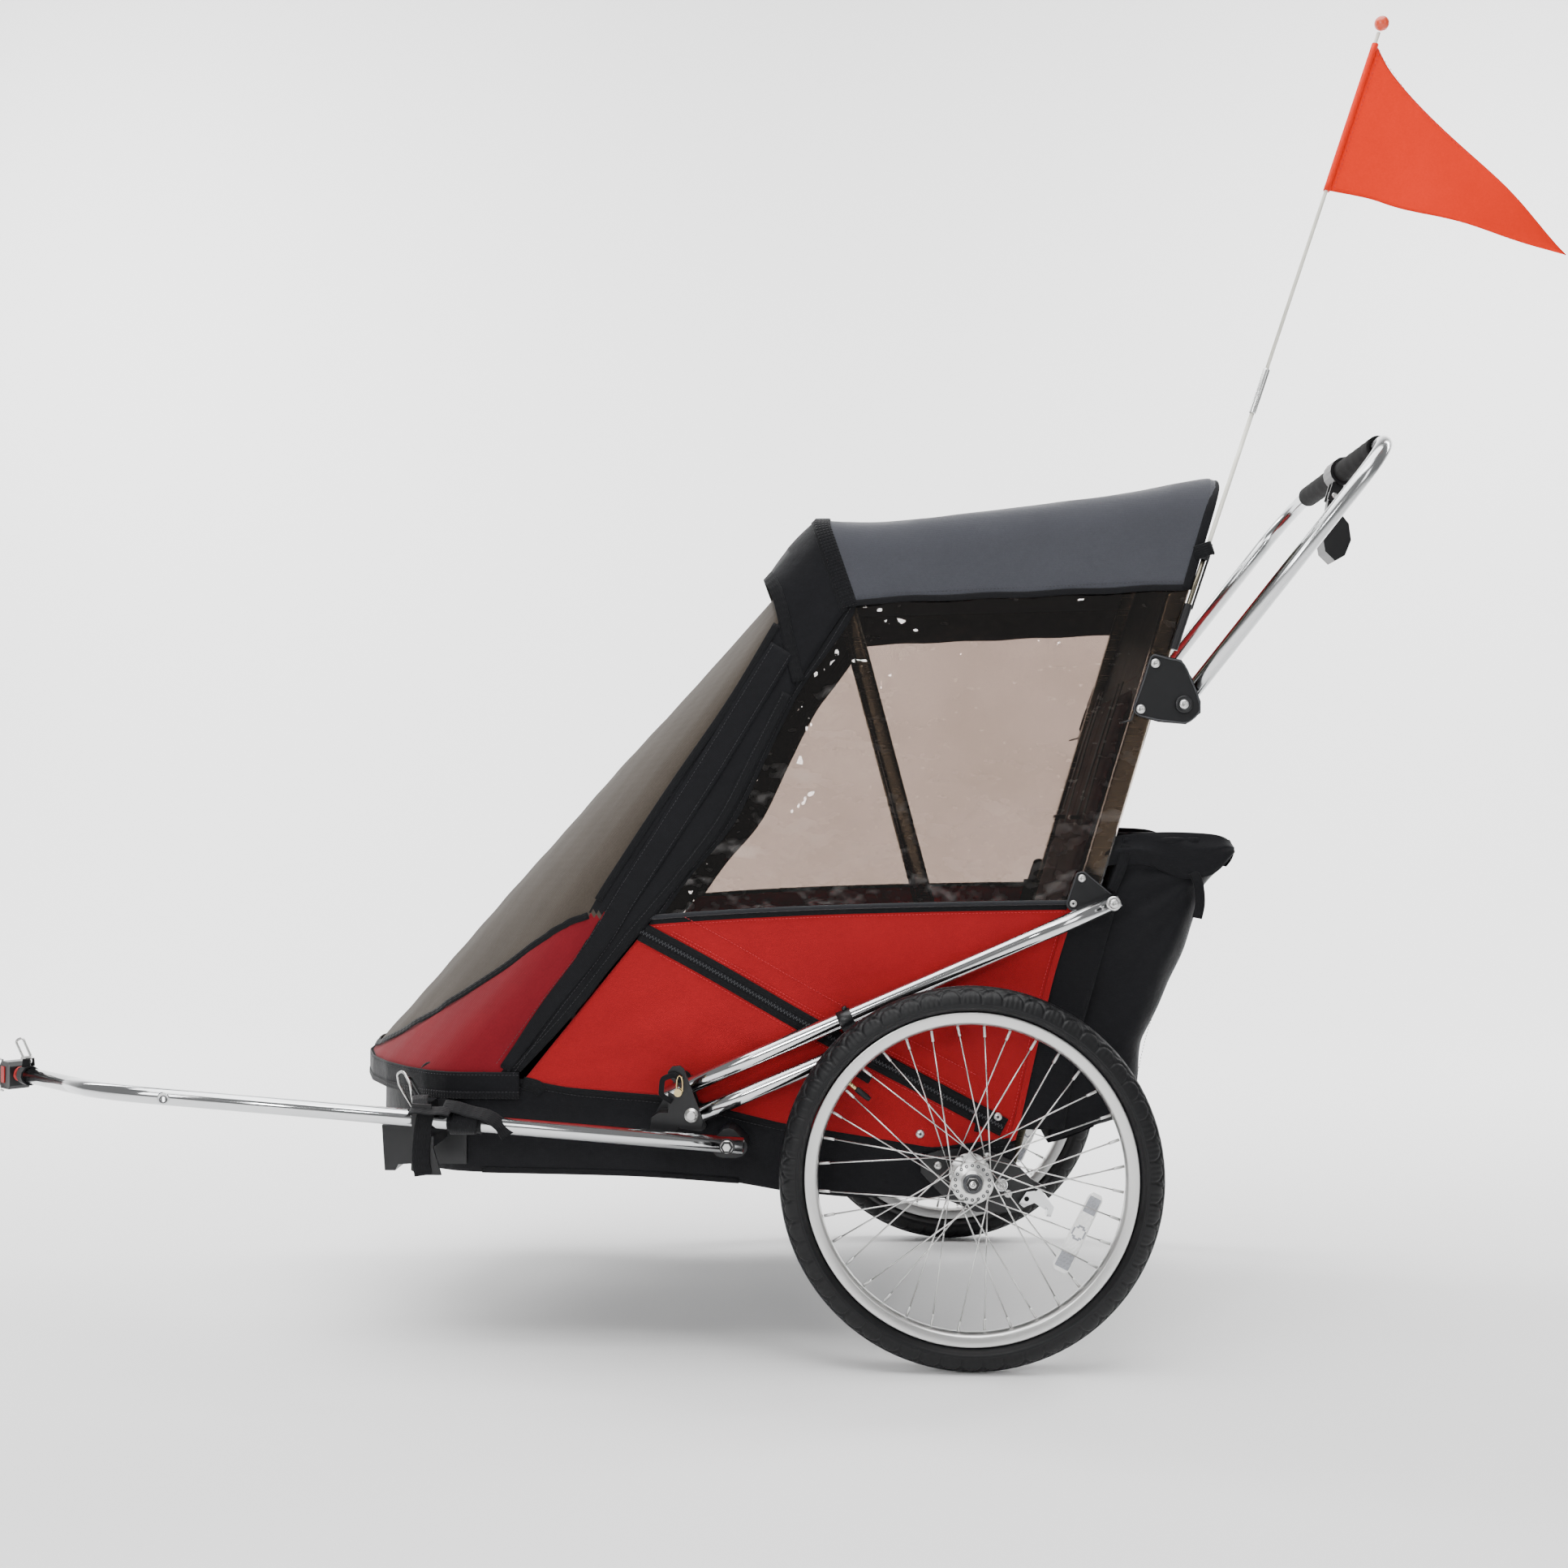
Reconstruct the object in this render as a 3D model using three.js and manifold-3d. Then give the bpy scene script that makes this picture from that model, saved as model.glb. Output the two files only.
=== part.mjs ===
// Child bicycle trailer: two-wheel tub on a tube frame, folding fabric cabin,
// side tow bar, push handle and safety flag.
// Millimetres, +Z up, -X is the direction of travel, -Y is the near (left) side.
// The model is laid out from the wheel axle (x = 0, ground z = 0) and the whole
// group is then moved so that its origin is the bottom centre of its box.
import * as THREE from 'three';
import { mergeVertices } from 'three/addons/utils/BufferGeometryUtils.js';
import Module from 'manifold-3d';

const wasm = await Module();
wasm.setup();

// ---------------------------------------------------------------- dimensions
const ORIGIN_SHIFT_X = 312.75;      // moves the box centre to x = 0
const WHEEL_R = 245;               // 20 inch wheel with its tyre
const WHEEL_Y = 375;               // wheel mid-plane from the centre plane
const RIM_R = 212;
const RIM_INNER_R = 194.5;
const SPOKE_COUNT = 36;
const TUBE_R = 11.1;               // 22.2 mm tube
const SKIN_OUT = 311;              // outer face of the cabin's side skins
const SKIN_IN = 308;
const PIVOT = [42, 226];           // fold pivot of both hoops (x, z)
const REAR_TOP = [314.5, 1130.5];  // centre of the rear hoop's cross bar
const FRONT_TOP = [-184, 1086];    // centre of the front hoop's cross bar
const REAR_HOOP_Y = 295.5;         // flat bar 22 wide, 25 deep
const FRONT_HOOP_Y = 272;
const STRUT_Y = 330;
const STRUT_REAR = [185, 592.5];
const STRUT_FRONT = [-394, 340];
const LOCK_PIN = [-376, 348];
const HANDLE_PIVOT = [279, 850];
const HANDLE_BAR = [560, 1205];    // centre line of the push handle's cross bar
const HANDLE_Y = 300;
const TOW_Y = 375;
const TOW_PIVOT = [-310, 285];
const TOW_BEND = [-1106, 346];
const TOW_END = [-1346, -121, 333];
const HITCH = [-1366, -104, 331];
const FLAG_Y = 318.5;
const FLAG_LOW = [289.4, 992];     // two points of the pole's line
const FLAG_HIGH = [535.8, 1732.7];

// ---------------------------------------------------------------- materials
const mat = (color, roughness, metalness, extra = {}) =>
  new THREE.MeshStandardMaterial({ color, roughness, metalness, ...extra });
const M = {
  tube: mat(0xc9cbcd, 0.22, 1.0),
  chrome: mat(0xdadcde, 0.12, 1.0),
  brass: mat(0xc9b26a, 0.3, 1.0),
  black: mat(0x15161a, 0.6, 0.0),
  blackMetal: mat(0x17181b, 0.45, 0.4),
  nylon: mat(0x16171b, 0.9, 0.0),
  red: mat(0xc52228, 0.85, 0.0),
  canopy: mat(0x3c3f47, 0.95, 0.0),
  mesh: mat(0x7a7063, 0.9, 0.0),
  vinyl: mat(0xa89c92, 0.2, 0.0, { transparent: true, opacity: 0.4 }),
  rubber: mat(0x1b1c20, 0.8, 0.0),
  rim: mat(0xc4c5c4, 0.35, 0.8),
  spoke: mat(0xb9babb, 0.3, 1.0),
  clear: mat(0xdfe3e6, 0.15, 0.0),
  foam: mat(0x101113, 0.95, 0.0),
  elastomer: mat(0xb02c30, 0.5, 0.0),
  pole: mat(0xe6e4d8, 0.4, 0.0),
  flag: mat(0xee521c, 0.7, 0.0),
};

// ---------------------------------------------------------------- helpers
const rad = THREE.MathUtils.degToRad;
const v3 = (p) => new THREE.Vector3(...p);

function clean(geo) {
  const g = geo.clone();
  for (const n of Object.keys(g.attributes)) if (n !== 'position') g.deleteAttribute(n);
  const m = mergeVertices(g, 1e-4);
  const idx = m.index.array, pos = m.attributes.position.array, keep = [];
  for (let i = 0; i < idx.length; i += 3) {
    const [a, b, c] = [idx[i], idx[i + 1], idx[i + 2]];
    if (a !== b && b !== c && a !== c) keep.push(a, b, c);
  }
  let vol = 0;
  for (let i = 0; i < keep.length; i += 3) {
    const [a, b, c] = [keep[i] * 3, keep[i + 1] * 3, keep[i + 2] * 3];
    vol += pos[a] * (pos[b + 1] * pos[c + 2] - pos[b + 2] * pos[c + 1])
      - pos[a + 1] * (pos[b] * pos[c + 2] - pos[b + 2] * pos[c])
      + pos[a + 2] * (pos[b] * pos[c + 1] - pos[b + 1] * pos[c]);
  }
  if (vol < 0) for (let i = 0; i < keep.length; i += 3) [keep[i + 1], keep[i + 2]] = [keep[i + 2], keep[i + 1]];
  m.setIndex(keep);
  return m;
}
function solid(geo) {
  const m = clean(geo);
  const made = new wasm.Manifold(new wasm.Mesh({
    numProp: 3,
    vertProperties: new Float32Array(m.attributes.position.array),
    triVerts: new Uint32Array(m.index.array),
  }));
  return made;
}
function geometryOf(man) {
  const mesh = man.getMesh();
  const g = new THREE.BufferGeometry();
  const n = mesh.numProp, count = mesh.vertProperties.length / n;
  const pos = new Float32Array(count * 3);
  for (let i = 0; i < count; i++) for (let k = 0; k < 3; k++) pos[i * 3 + k] = mesh.vertProperties[i * n + k];
  g.setAttribute('position', new THREE.BufferAttribute(pos, 3));
  g.setIndex(Array.from(mesh.triVerts));
  return g;
}
const join = (...geos) => geometryOf(geos.map(solid).reduce((a, b) => a.add(b)));
const cut = (geo, ...tools) => geometryOf(tools.map(solid).reduce((a, b) => a.subtract(b), solid(geo)));
function mirrorY(geo) {
  const g = clean(geo);
  const p = g.attributes.position;
  for (let i = 0; i < p.count; i++) p.setY(i, -p.getY(i));
  const idx = Array.from(g.index.array);
  for (let i = 0; i < idx.length; i += 3) [idx[i + 1], idx[i + 2]] = [idx[i + 2], idx[i + 1]];
  g.setIndex(idx);
  return g;
}

// a path through listed points, which are its own steps
class Route extends THREE.Curve {
  constructor(points) { super(); this.points = points.map(v3); }
  getPoint(t) {
    const n = this.points.length - 1, s = Math.min(Math.max(t, 0), 1) * n;
    const i = Math.min(Math.floor(s + 1e-9), n - 1);
    return this.points[i].clone().lerp(this.points[i + 1], s - i);
  }
  getPointAt(u) { return this.getPoint(u); }
  getTangentAt(u) {
    const n = this.points.length - 1, i = Math.round(Math.min(Math.max(u, 0), 1) * n);
    const t = new THREE.Vector3();
    if (i > 0) t.add(this.points[i].clone().sub(this.points[i - 1]).normalize());
    if (i < n) t.add(this.points[i + 1].clone().sub(this.points[i]).normalize());
    return t.normalize();
  }
}
// a polyline with each inner corner rounded to its radius
function rounded(points, radii, steps = 5) {
  const out = [points[0]];
  for (let i = 1; i < points.length - 1; i++) {
    const a = v3(points[i - 1]), b = v3(points[i]), c = v3(points[i + 1]);
    const r = Array.isArray(radii) ? radii[i - 1] : radii;
    const u = a.clone().sub(b).normalize(), w = c.clone().sub(b).normalize();
    const half = Math.acos(THREE.MathUtils.clamp(u.dot(w), -1, 1)) / 2;
    const back = r / Math.tan(half);
    const centre = b.clone().add(u.clone().add(w).normalize().multiplyScalar(r / Math.sin(half)));
    const p0 = b.clone().addScaledVector(u, back).sub(centre), p1 = b.clone().addScaledVector(w, back).sub(centre);
    const turn = Math.PI - 2 * half;
    for (let k = 0; k <= steps; k++) {
      const f = k / steps;
      const p = p0.clone().multiplyScalar(Math.sin((1 - f) * turn) / Math.sin(turn))
        .add(p1.clone().multiplyScalar(Math.sin(f * turn) / Math.sin(turn))).add(centre);
      out.push(p.toArray());
    }
  }
  out.push(points[points.length - 1]);
  return out;
}
function polygon(pairs, holes = []) {
  const s = new THREE.Shape(pairs.map(([x, y]) => new THREE.Vector2(x, y)));
  for (const h of holes) s.holes.push(new THREE.Path(h.map(([x, y]) => new THREE.Vector2(x, y))));
  return s;
}
const ring = (r, sides, phase = 0) => Array.from({ length: sides }, (_, i) => {
  const a = phase + i * 2 * Math.PI / sides;
  return [r * Math.cos(a), r * Math.sin(a)];
});
function sweep(points, section) {
  return new THREE.ExtrudeGeometry(polygon(section), {
    steps: points.length - 1, extrudePath: new Route(points), bevelEnabled: false, curveSegments: 1,
  });
}
const tube = (points, r = TUBE_R, sides = 12) => sweep(points, ring(r, sides, Math.PI / sides));
// a plate with an outline in (x, z), from y0 to y1
function plate(outline, y0, y1, holes = []) {
  const g = new THREE.ExtrudeGeometry(polygon(outline, holes), { depth: Math.abs(y1 - y0), bevelEnabled: false, curveSegments: 1 });
  g.rotateX(Math.PI / 2);
  g.translate(0, Math.max(y0, y1), 0);
  return g;
}
// a plate with an outline in (x, y), from z0 to z1
function slab(outline, z0, z1) {
  const g = new THREE.ExtrudeGeometry(polygon(outline), { depth: z1 - z0, bevelEnabled: false, curveSegments: 1 });
  g.translate(0, 0, z0);
  return g;
}
// round bar along Y
function pinY(x, z, y0, y1, r, sides = 16, phase = 0) {
  return plate(ring(r, sides, phase).map(([a, b]) => [x + a, z + b]), y0, y1);
}
function lathe(profile, segments) {
  return new THREE.LatheGeometry(profile.map(([r, y]) => new THREE.Vector2(r, y)), segments);
}
const box = (x0, x1, y0, y1, z0, z1) => {
  const g = new THREE.BoxGeometry(Math.abs(x1 - x0), Math.abs(y1 - y0), Math.abs(z1 - z0));
  g.translate((x0 + x1) / 2, (y0 + y1) / 2, (z0 + z1) / 2);
  return g;
};
// outline round several points: the hull of circles
function hullOutline(centres, r, sides = 12) {
  const pts = centres.flatMap(([x, z]) => ring(r, sides).map(([a, b]) => [x + a, z + b]));
  pts.sort((p, q) => p[0] - q[0] || p[1] - q[1]);
  const cross = (o, a, b) => (a[0] - o[0]) * (b[1] - o[1]) - (a[1] - o[1]) * (b[0] - o[0]);
  const half = (list) => {
    const h = [];
    for (const p of list) {
      while (h.length > 1 && cross(h[h.length - 2], h[h.length - 1], p) <= 1e-6) h.pop();
      h.push(p);
    }
    h.pop();
    return h;
  };
  return [...half(pts), ...half(pts.slice().reverse())];
}
// a thin shell through a grid of points [row][column], made `thick` inwards
function shell(rows, thick, inward) {
  const nr = rows.length, nc = rows[0].length, pos = [], idx = [];
  const at = (i, j) => v3(rows[i][j]);
  const normal = (i, j) => {
    const n = at(Math.min(i + 1, nr - 1), j).sub(at(Math.max(i - 1, 0), j))
      .cross(at(i, Math.min(j + 1, nc - 1)).sub(at(i, Math.max(j - 1, 0)))).normalize();
    return n.dot(inward(rows[i][j])) < 0 ? n.negate() : n;
  };
  for (let i = 0; i < nr; i++) for (let j = 0; j < nc; j++) pos.push(...rows[i][j]);
  for (let i = 0; i < nr; i++) for (let j = 0; j < nc; j++) pos.push(...at(i, j).addScaledVector(normal(i, j), thick).toArray());
  const o = (i, j) => i * nc + j, q = (i, j) => nr * nc + i * nc + j;
  const quad = (a, b, c, d) => idx.push(a, b, c, a, c, d);
  for (let i = 0; i < nr - 1; i++) for (let j = 0; j < nc - 1; j++) {
    quad(o(i, j), o(i, j + 1), o(i + 1, j + 1), o(i + 1, j));
    quad(q(i, j), q(i + 1, j), q(i + 1, j + 1), q(i, j + 1));
  }
  for (let i = 0; i < nr - 1; i++) {
    quad(o(i, 0), o(i + 1, 0), q(i + 1, 0), q(i, 0));
    quad(o(i, nc - 1), q(i, nc - 1), q(i + 1, nc - 1), o(i + 1, nc - 1));
  }
  for (let j = 0; j < nc - 1; j++) {
    quad(o(0, j), q(0, j), q(0, j + 1), o(0, j + 1));
    quad(o(nr - 1, j), o(nr - 1, j + 1), q(nr - 1, j + 1), q(nr - 1, j));
  }
  const g = new THREE.BufferGeometry();
  g.setAttribute('position', new THREE.BufferAttribute(new Float32Array(pos), 3));
  g.setIndex(idx);
  return g;
}
const along = (list, t) => {       // point at share t along a polyline of equal steps
  const s = t * (list.length - 1), i = Math.min(Math.floor(s), list.length - 2), f = s - i;
  return list[i].map((a, k) => a + (list[i + 1][k] - a) * f);
};

const trailer = new THREE.Group();
const groups = {};
function add(body, name, geo, material) {
  if (!groups[body]) { groups[body] = new THREE.Group(); groups[body].name = body; trailer.add(groups[body]); }
  const m = new THREE.Mesh(clean(geo), material);
  m.name = name;
  groups[body].add(m);
}
function pair(body, name, geo, material) {   // geo is the near side's, at -Y
  add(body.replace('*', 'left'), name.replace('*', 'left'), geo, material);
  add(body.replace('*', 'right'), name.replace('*', 'right'), mirrorY(geo), material);
}

// ---------------------------------------------------------------- wheels
{
  const tyre = lathe([[RIM_R + 0.4, -12], [214, -16.5], [221, -21], [230, -22.5], [239.5, -16.5], [WHEEL_R, -6],
    [WHEEL_R, 6], [239.5, 16.5], [230, 22.5], [221, 21], [214, 16.5], [RIM_R + 0.4, 12], [RIM_R + 0.4, -12]], 36);
  const rim = lathe([[RIM_R, -12.5], [198, -10.5], [RIM_INNER_R, -5], [RIM_INNER_R, 5], [198, 10.5], [RIM_R, 12.5],
    [RIM_R, 10.5], [198.5, 6], [198.5, -6], [RIM_R, -10.5], [RIM_R, -12.5]], 36);
  const hub = lathe([[6.5, -36], [13.5, -36], [14, -31], [27, -30], [27, -27], [15, -24], [13, 0], [15, 24], [27, 27], [27, 30],
    [14, 31], [13.5, 36], [6.5, 36], [6.5, -36]], 20);
  // spokes: every spoke meets a thin band under the rim, so they are one piece
  const parts = [];
  const band = lathe([[191.3, -4.5], [194, -4.5], [194, 4.5], [191.3, 4.5], [191.3, -4.5]], 36);
  for (let i = 0; i < SPOKE_COUNT; i++) {
    const side = i % 2 ? 1 : -1, pull = Math.floor(i / 2) % 2;
    const a = rad(i * 10 + 5), b = a + (pull ? 1 : -1) * rad(62);
    const y0 = side * (pull ? 31.4 : 26.6), y1 = side * (pull ? 3.4 : 0.8);
    parts.push(tube([[28.3 * Math.cos(b), y0, 28.3 * Math.sin(b)], [192.6 * Math.cos(a), y1, 192.6 * Math.sin(a)]], 1.15, 3));
  }
  const spokes = geometryOf(parts.map(solid).reduce((s, p) => s.add(p), solid(band)));
  const place = (g) => { const c = clean(g); c.translate(0, -WHEEL_Y, WHEEL_R); return c; };
  pair('wheel_*', 'tyre_*', place(tyre), M.rubber);
  pair('wheel_*', 'rim_*', place(rim), M.rim);
  pair('wheel_*', 'spokes_*', place(spokes), M.spoke);
  pair('wheel_*', 'hub_*', place(hub), M.rim);
  // clear reflector held between the two sets of spokes
  const refl = plate([[-12.5, -48], [-9, -55], [9, -55], [12.5, -48], [9.5, 50], [6, 55], [-6, 55], [-9.5, 50]], -2.4, 2.4);
  refl.rotateY(rad(26.5)).translate(135.5, 0, -67.5);
  pair('wheel_*', 'wheel_reflector_*', place(refl), M.clear);
}

// ---------------------------------------------------------------- base frame
const ARC_X = -445, ARC_R = 391;
// plan of the tub skin, inset by d
function tubPlan(d, xRear) {
  const pts = [[xRear, -(SKIN_OUT - d)], [-655, -(SKIN_OUT - d)], [-677 + 0.3 * d, -(308 - 0.95 * d)], [-692 + 0.6 * d, -(298.5 - 0.8 * d)]];
  const a0 = Math.asin((290 - 0.75 * d) / (ARC_R - d));
  for (let k = 0; k <= 10; k++) {
    const a = -a0 + (2 * a0 * k) / 10;
    pts.push([ARC_X - (ARC_R - d) * Math.cos(a), (ARC_R - d) * Math.sin(a)]);
  }
  const mirrored = pts.slice(0, 4).reverse().map(([x, y]) => [x, -y]);
  return [...pts, ...mirrored];
}
{
  const R = 11, Z = 253, Y = 245;
  const arc = [];
  const ra = 372;
  const a0 = Math.asin(228 / ra);
  for (let k = 0; k <= 10; k++) { const a = a0 - (2 * a0 * k) / 10; arc.push([ARC_X - ra * Math.cos(a), -ra * Math.sin(a), Z]); }
  const loop = [[30, -Y, Z], [-600, -Y, Z], [-690, -Y, Z], [-722, -238, Z], ...arc.slice(1, -1), [-722, 238, Z], [-690, Y, Z], [-600, Y, Z], [30, Y, Z]];
  let frame = solid(tube(loop, R, 10));
  frame = frame.add(solid(tube([[0, -Y, Z], [0, Y, Z]], R, 10)));
  frame = frame.add(solid(tube([[-380, -Y, Z + 2], [-380, Y, Z + 2]], 9, 10)));
  // seat bar standing on two short posts over the cross tube
  frame = frame.add(solid(tube(rounded([[-380, -200, Z], [-380, -200, 322], [-380, 200, 322], [-380, 200, Z]], 20, 3), 8, 8)));
  // pivot brackets and bolts
  for (const s of [-1, 1]) {
    const y = (a, b) => [s * a, s * b];
    frame = frame.add(solid(plate(hullOutline([[PIVOT[0], PIVOT[1]], [20, 252], [-20, 252]], 11, 12), ...y(254, 258.5))));
    frame = frame.add(solid(pinY(PIVOT[0], PIVOT[1], ...y(257, 320.5), 5, 16)));
    frame = frame.add(solid(pinY(PIVOT[0], PIVOT[1], ...y(317.9, 321), 8.5, 16)));
  }
  add('root', 'base_frame', geometryOf(frame), M.tube);
}
// axle plate outside the tub with the wheel's stub axle and nut
{
  const out = [[-62, 262], [-62, 240], [-30, 206], [10, 190], [62, 190], [96, 207], [100, 222], [80, 234], [58, 256], [20, 272], [-30, 272]];
  let p = solid(plate(out, -317.5, -311.4)).subtract(solid(pinY(PIVOT[0], PIVOT[1], -330, -300, 5.5, 16)));
  p = p.add(solid(pinY(0, WHEEL_R, -333, -317, 12, 16))).add(solid(pinY(0, WHEEL_R, -412, -330, 5.8, 16)))
    .add(solid(pinY(0, WHEEL_R, -418.5, -411.5, 8.6, 6)));
  pair('root', 'axle_plate_*', geometryOf(p), M.blackMetal);
}
// tub: floor, side walls and round nose, open on top and at the rear
const BAND_TOP = [[-860, 357], [-587, 356], [-527, 345], [-387, 334], [-248, 301], [-46, 270], [60, 284]];
{
  const floorLine = [[60, 206.5], [-160, 206.5], [-240, 213], [-312, 226], [-440, 232], [-700, 236], [-860, 238]];
  const profile = [...BAND_TOP, ...floorLine];
  const inner = [[-860, 420], [80, 420], ...floorLine.map(([x, z], i) => [i === 0 ? 80 : x, z + 3])];
  const outer = solid(slab(tubPlan(0, 60), 150, 420)).intersect(solid(plate(profile, -400, 400)));
  const core = solid(slab(tubPlan(3, 80), 150, 420)).intersect(solid(plate(inner, -400, 400)));
  let tub = outer.subtract(core);
  for (const s of [-1, 1]) tub = tub.subtract(solid(pinY(PIVOT[0], PIVOT[1], s * 300, s * 320, 5.5, 16)));
  add('root', 'tub_pan', geometryOf(tub), M.nylon);
}
// side panels above the black band
{
  const out = [[-586, 356.5], [-527, 345.4], [-387, 334.4], [-248, 301.4], [-46, 270.4], [56, 284], [60, 297], [103, 481], [134, 590], [-413, 571], [-430, 549.5]];
  pair('root', 'side_panel_*', plate(out, -SKIN_OUT, -SKIN_IN), M.red);
}
// windows
{
  const out = [[-410, 572.6], [134, 591], [151, 597], [171, 604], [300, 1050], [-132, 1030], [-156, 968], [-224, 873], [-311, 698.5]];
  pair('root', 'window_*', plate(out, -310.5, -308.2), M.vinyl);
}
// lower struts, strut brackets
{
  pair('root', 'lower_strut_*', tube([[-364, -STRUT_Y, 310.8], [0, -STRUT_Y, 465.5]], TUBE_R, 12), M.tube);
  const inner = plate(hullOutline([[-404, 308], [-352, 300], [-372, 362]], 9, 10), -314.5, -311.4);
  const pad = plate([[-413, 300], [-411, 315], [-402, 321], [-380, 321], [-376, 300], [-384, 294], [-404, 293]], -349, -313.5);
  const outer = plate([[-390, 374], [-384, 381], [-374, 382], [-369, 378], [-344, 312], [-346, 304], [-356, 299], [-366, 300], [-389, 306]], -350, -346.5);
  const slotDir = [-0.826, 0.563], n = [0.563, 0.826], w = 5.2, L = 40;
  const slot = plate([
    [LOCK_PIN[0] + n[0] * w + 3, LOCK_PIN[1] + n[1] * w - 2], [LOCK_PIN[0] + slotDir[0] * L + n[0] * w * 2.2, LOCK_PIN[1] + slotDir[1] * L + n[1] * w * 2.2],
    [LOCK_PIN[0] + slotDir[0] * L - n[0] * w * 2.2, LOCK_PIN[1] + slotDir[1] * L - n[1] * w * 2.2], [LOCK_PIN[0] - n[0] * w + 3, LOCK_PIN[1] - n[1] * w - 2]], -352, -345);
  const bolt = pinY(-359, 318, -354.5, -349, 6.3, 6);
  const body = solid(inner).add(solid(pad)).add(solid(outer)).subtract(solid(slot)).add(solid(bolt));
  pair('root', 'strut_bracket_*', geometryOf(body), M.black);
}
// seat pad
{
  const top = [[-122, 264], [-200, 292], [-300, 330], [-352, 348], [-377, 349.5], [-394, 342]];
  const low = [[-398, 333], [-377, 337], [-352, 335.5], [-300, 318], [-200, 280], [-122, 258]];
  add('root', 'seat_pad', plate([...top, ...low], -225, 225), M.red);
}
// front cover: mesh front with its hem and side straps, one shell
{
  // share of the way from the nose's tip to the side, at half-width share q
  const plan = [[0, 0], [0.25, 0.043], [0.48, 0.166], [0.68, 0.35], [0.83, 0.545], [0.932, 0.715], [0.962, 0.795], [0.988, 0.885], [1, 1]];
  const side = [[-664, 333], [-664, 368], [-545, 496], [-468, 623.5], [-390, 740], [-312, 853.6], [-247, 961]];
  const front = [[-858, 333], [-857, 368], [-742, 505], [-627, 632], [-508, 762], [-388, 890], [-264, 1020]];
  const strap = [[-588, 333], [-588, 357.5], [-508, 455], [-430, 551], [-371, 625], [-312, 700], [-226, 873]];
  const rows = side.map((S, i) => {
    const F = front[i], y0 = i < 2 ? 315.3 : 314.2;
    const half = plan.map(([q, g]) => [F[0] + (S[0] - F[0]) * g, q * y0, F[1] + (S[1] - F[1]) * g]);
    half.push([strap[i][0], y0, strap[i][1]]);
    return [...half.slice(1).reverse().map(([x, y, z]) => [x, -y, z]), ...half];
  });
  add('root', 'front_cover', shell(rows, 2.6, () => new THREE.Vector3(1, 0, -0.4)), M.mesh);
}
// tow bar pivot mount and front cradle
{
  const block = plate(hullOutline([[-318, 280], [-300, 280], [-310, 290]], 14, 12), -363, -311.4);
  const bolt = pinY(TOW_PIVOT[0], TOW_PIVOT[1], -391, -360, 4.2, 12);
  const head = pinY(TOW_PIVOT[0], TOW_PIVOT[1], -395.5, -390.5, 8, 6);
  const flange = pinY(TOW_PIVOT[0], TOW_PIVOT[1], -391, -388, 10, 16);
  add('root', 'tow_pivot_mount', join(block, bolt, flange, head), M.black);
  const inner = plate([[-716, 246], [-660, 246], [-660, 325], [-690, 332], [-716, 328]], -314.6, -311.4);
  const foot = plate([[-714, 282], [-686, 282], [-686, 295.5], [-714, 297.5]], -392, -312);
  const outer = plate([[-715, 252], [-704, 246], [-676, 246], [-690, 292], [-689, 336], [-714, 337]], -392, -388.5);
  const slot = plate(hullOutline([[-697, 260], [-697, 268]], 3, 10), -395, -385);
  const clip = tube(rounded([[-712, -326, 326], [-733, -326, 362], [-733, -346, 362], [-708, -346, 326]], 8, 3), 1.8, 8);
  const lugs = plate([[-716, 318], [-700, 318], [-700, 332], [-716, 332]], -350, -312);
  add('root', 'tow_bar_cradle', cut(join(inner, foot, outer, lugs, clip), slot), M.black);
}
// black corner blocks outside the nose
{
  const tool = slab(tubPlan(-0.6, 60), 200, 420);
  const body = cut(plate([[-774, 296], [-722, 296], [-716, 292], [-716, 246], [-752, 244], [-756, 236], [-770, 236], [-772, 262]], -311, -205), tool);
  const parts = solid(body).decompose().sort((a, b) => b.volume() - a.volume());
  pair('root', 'corner_block_*', geometryOf(parts[0]), M.black);
}

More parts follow.
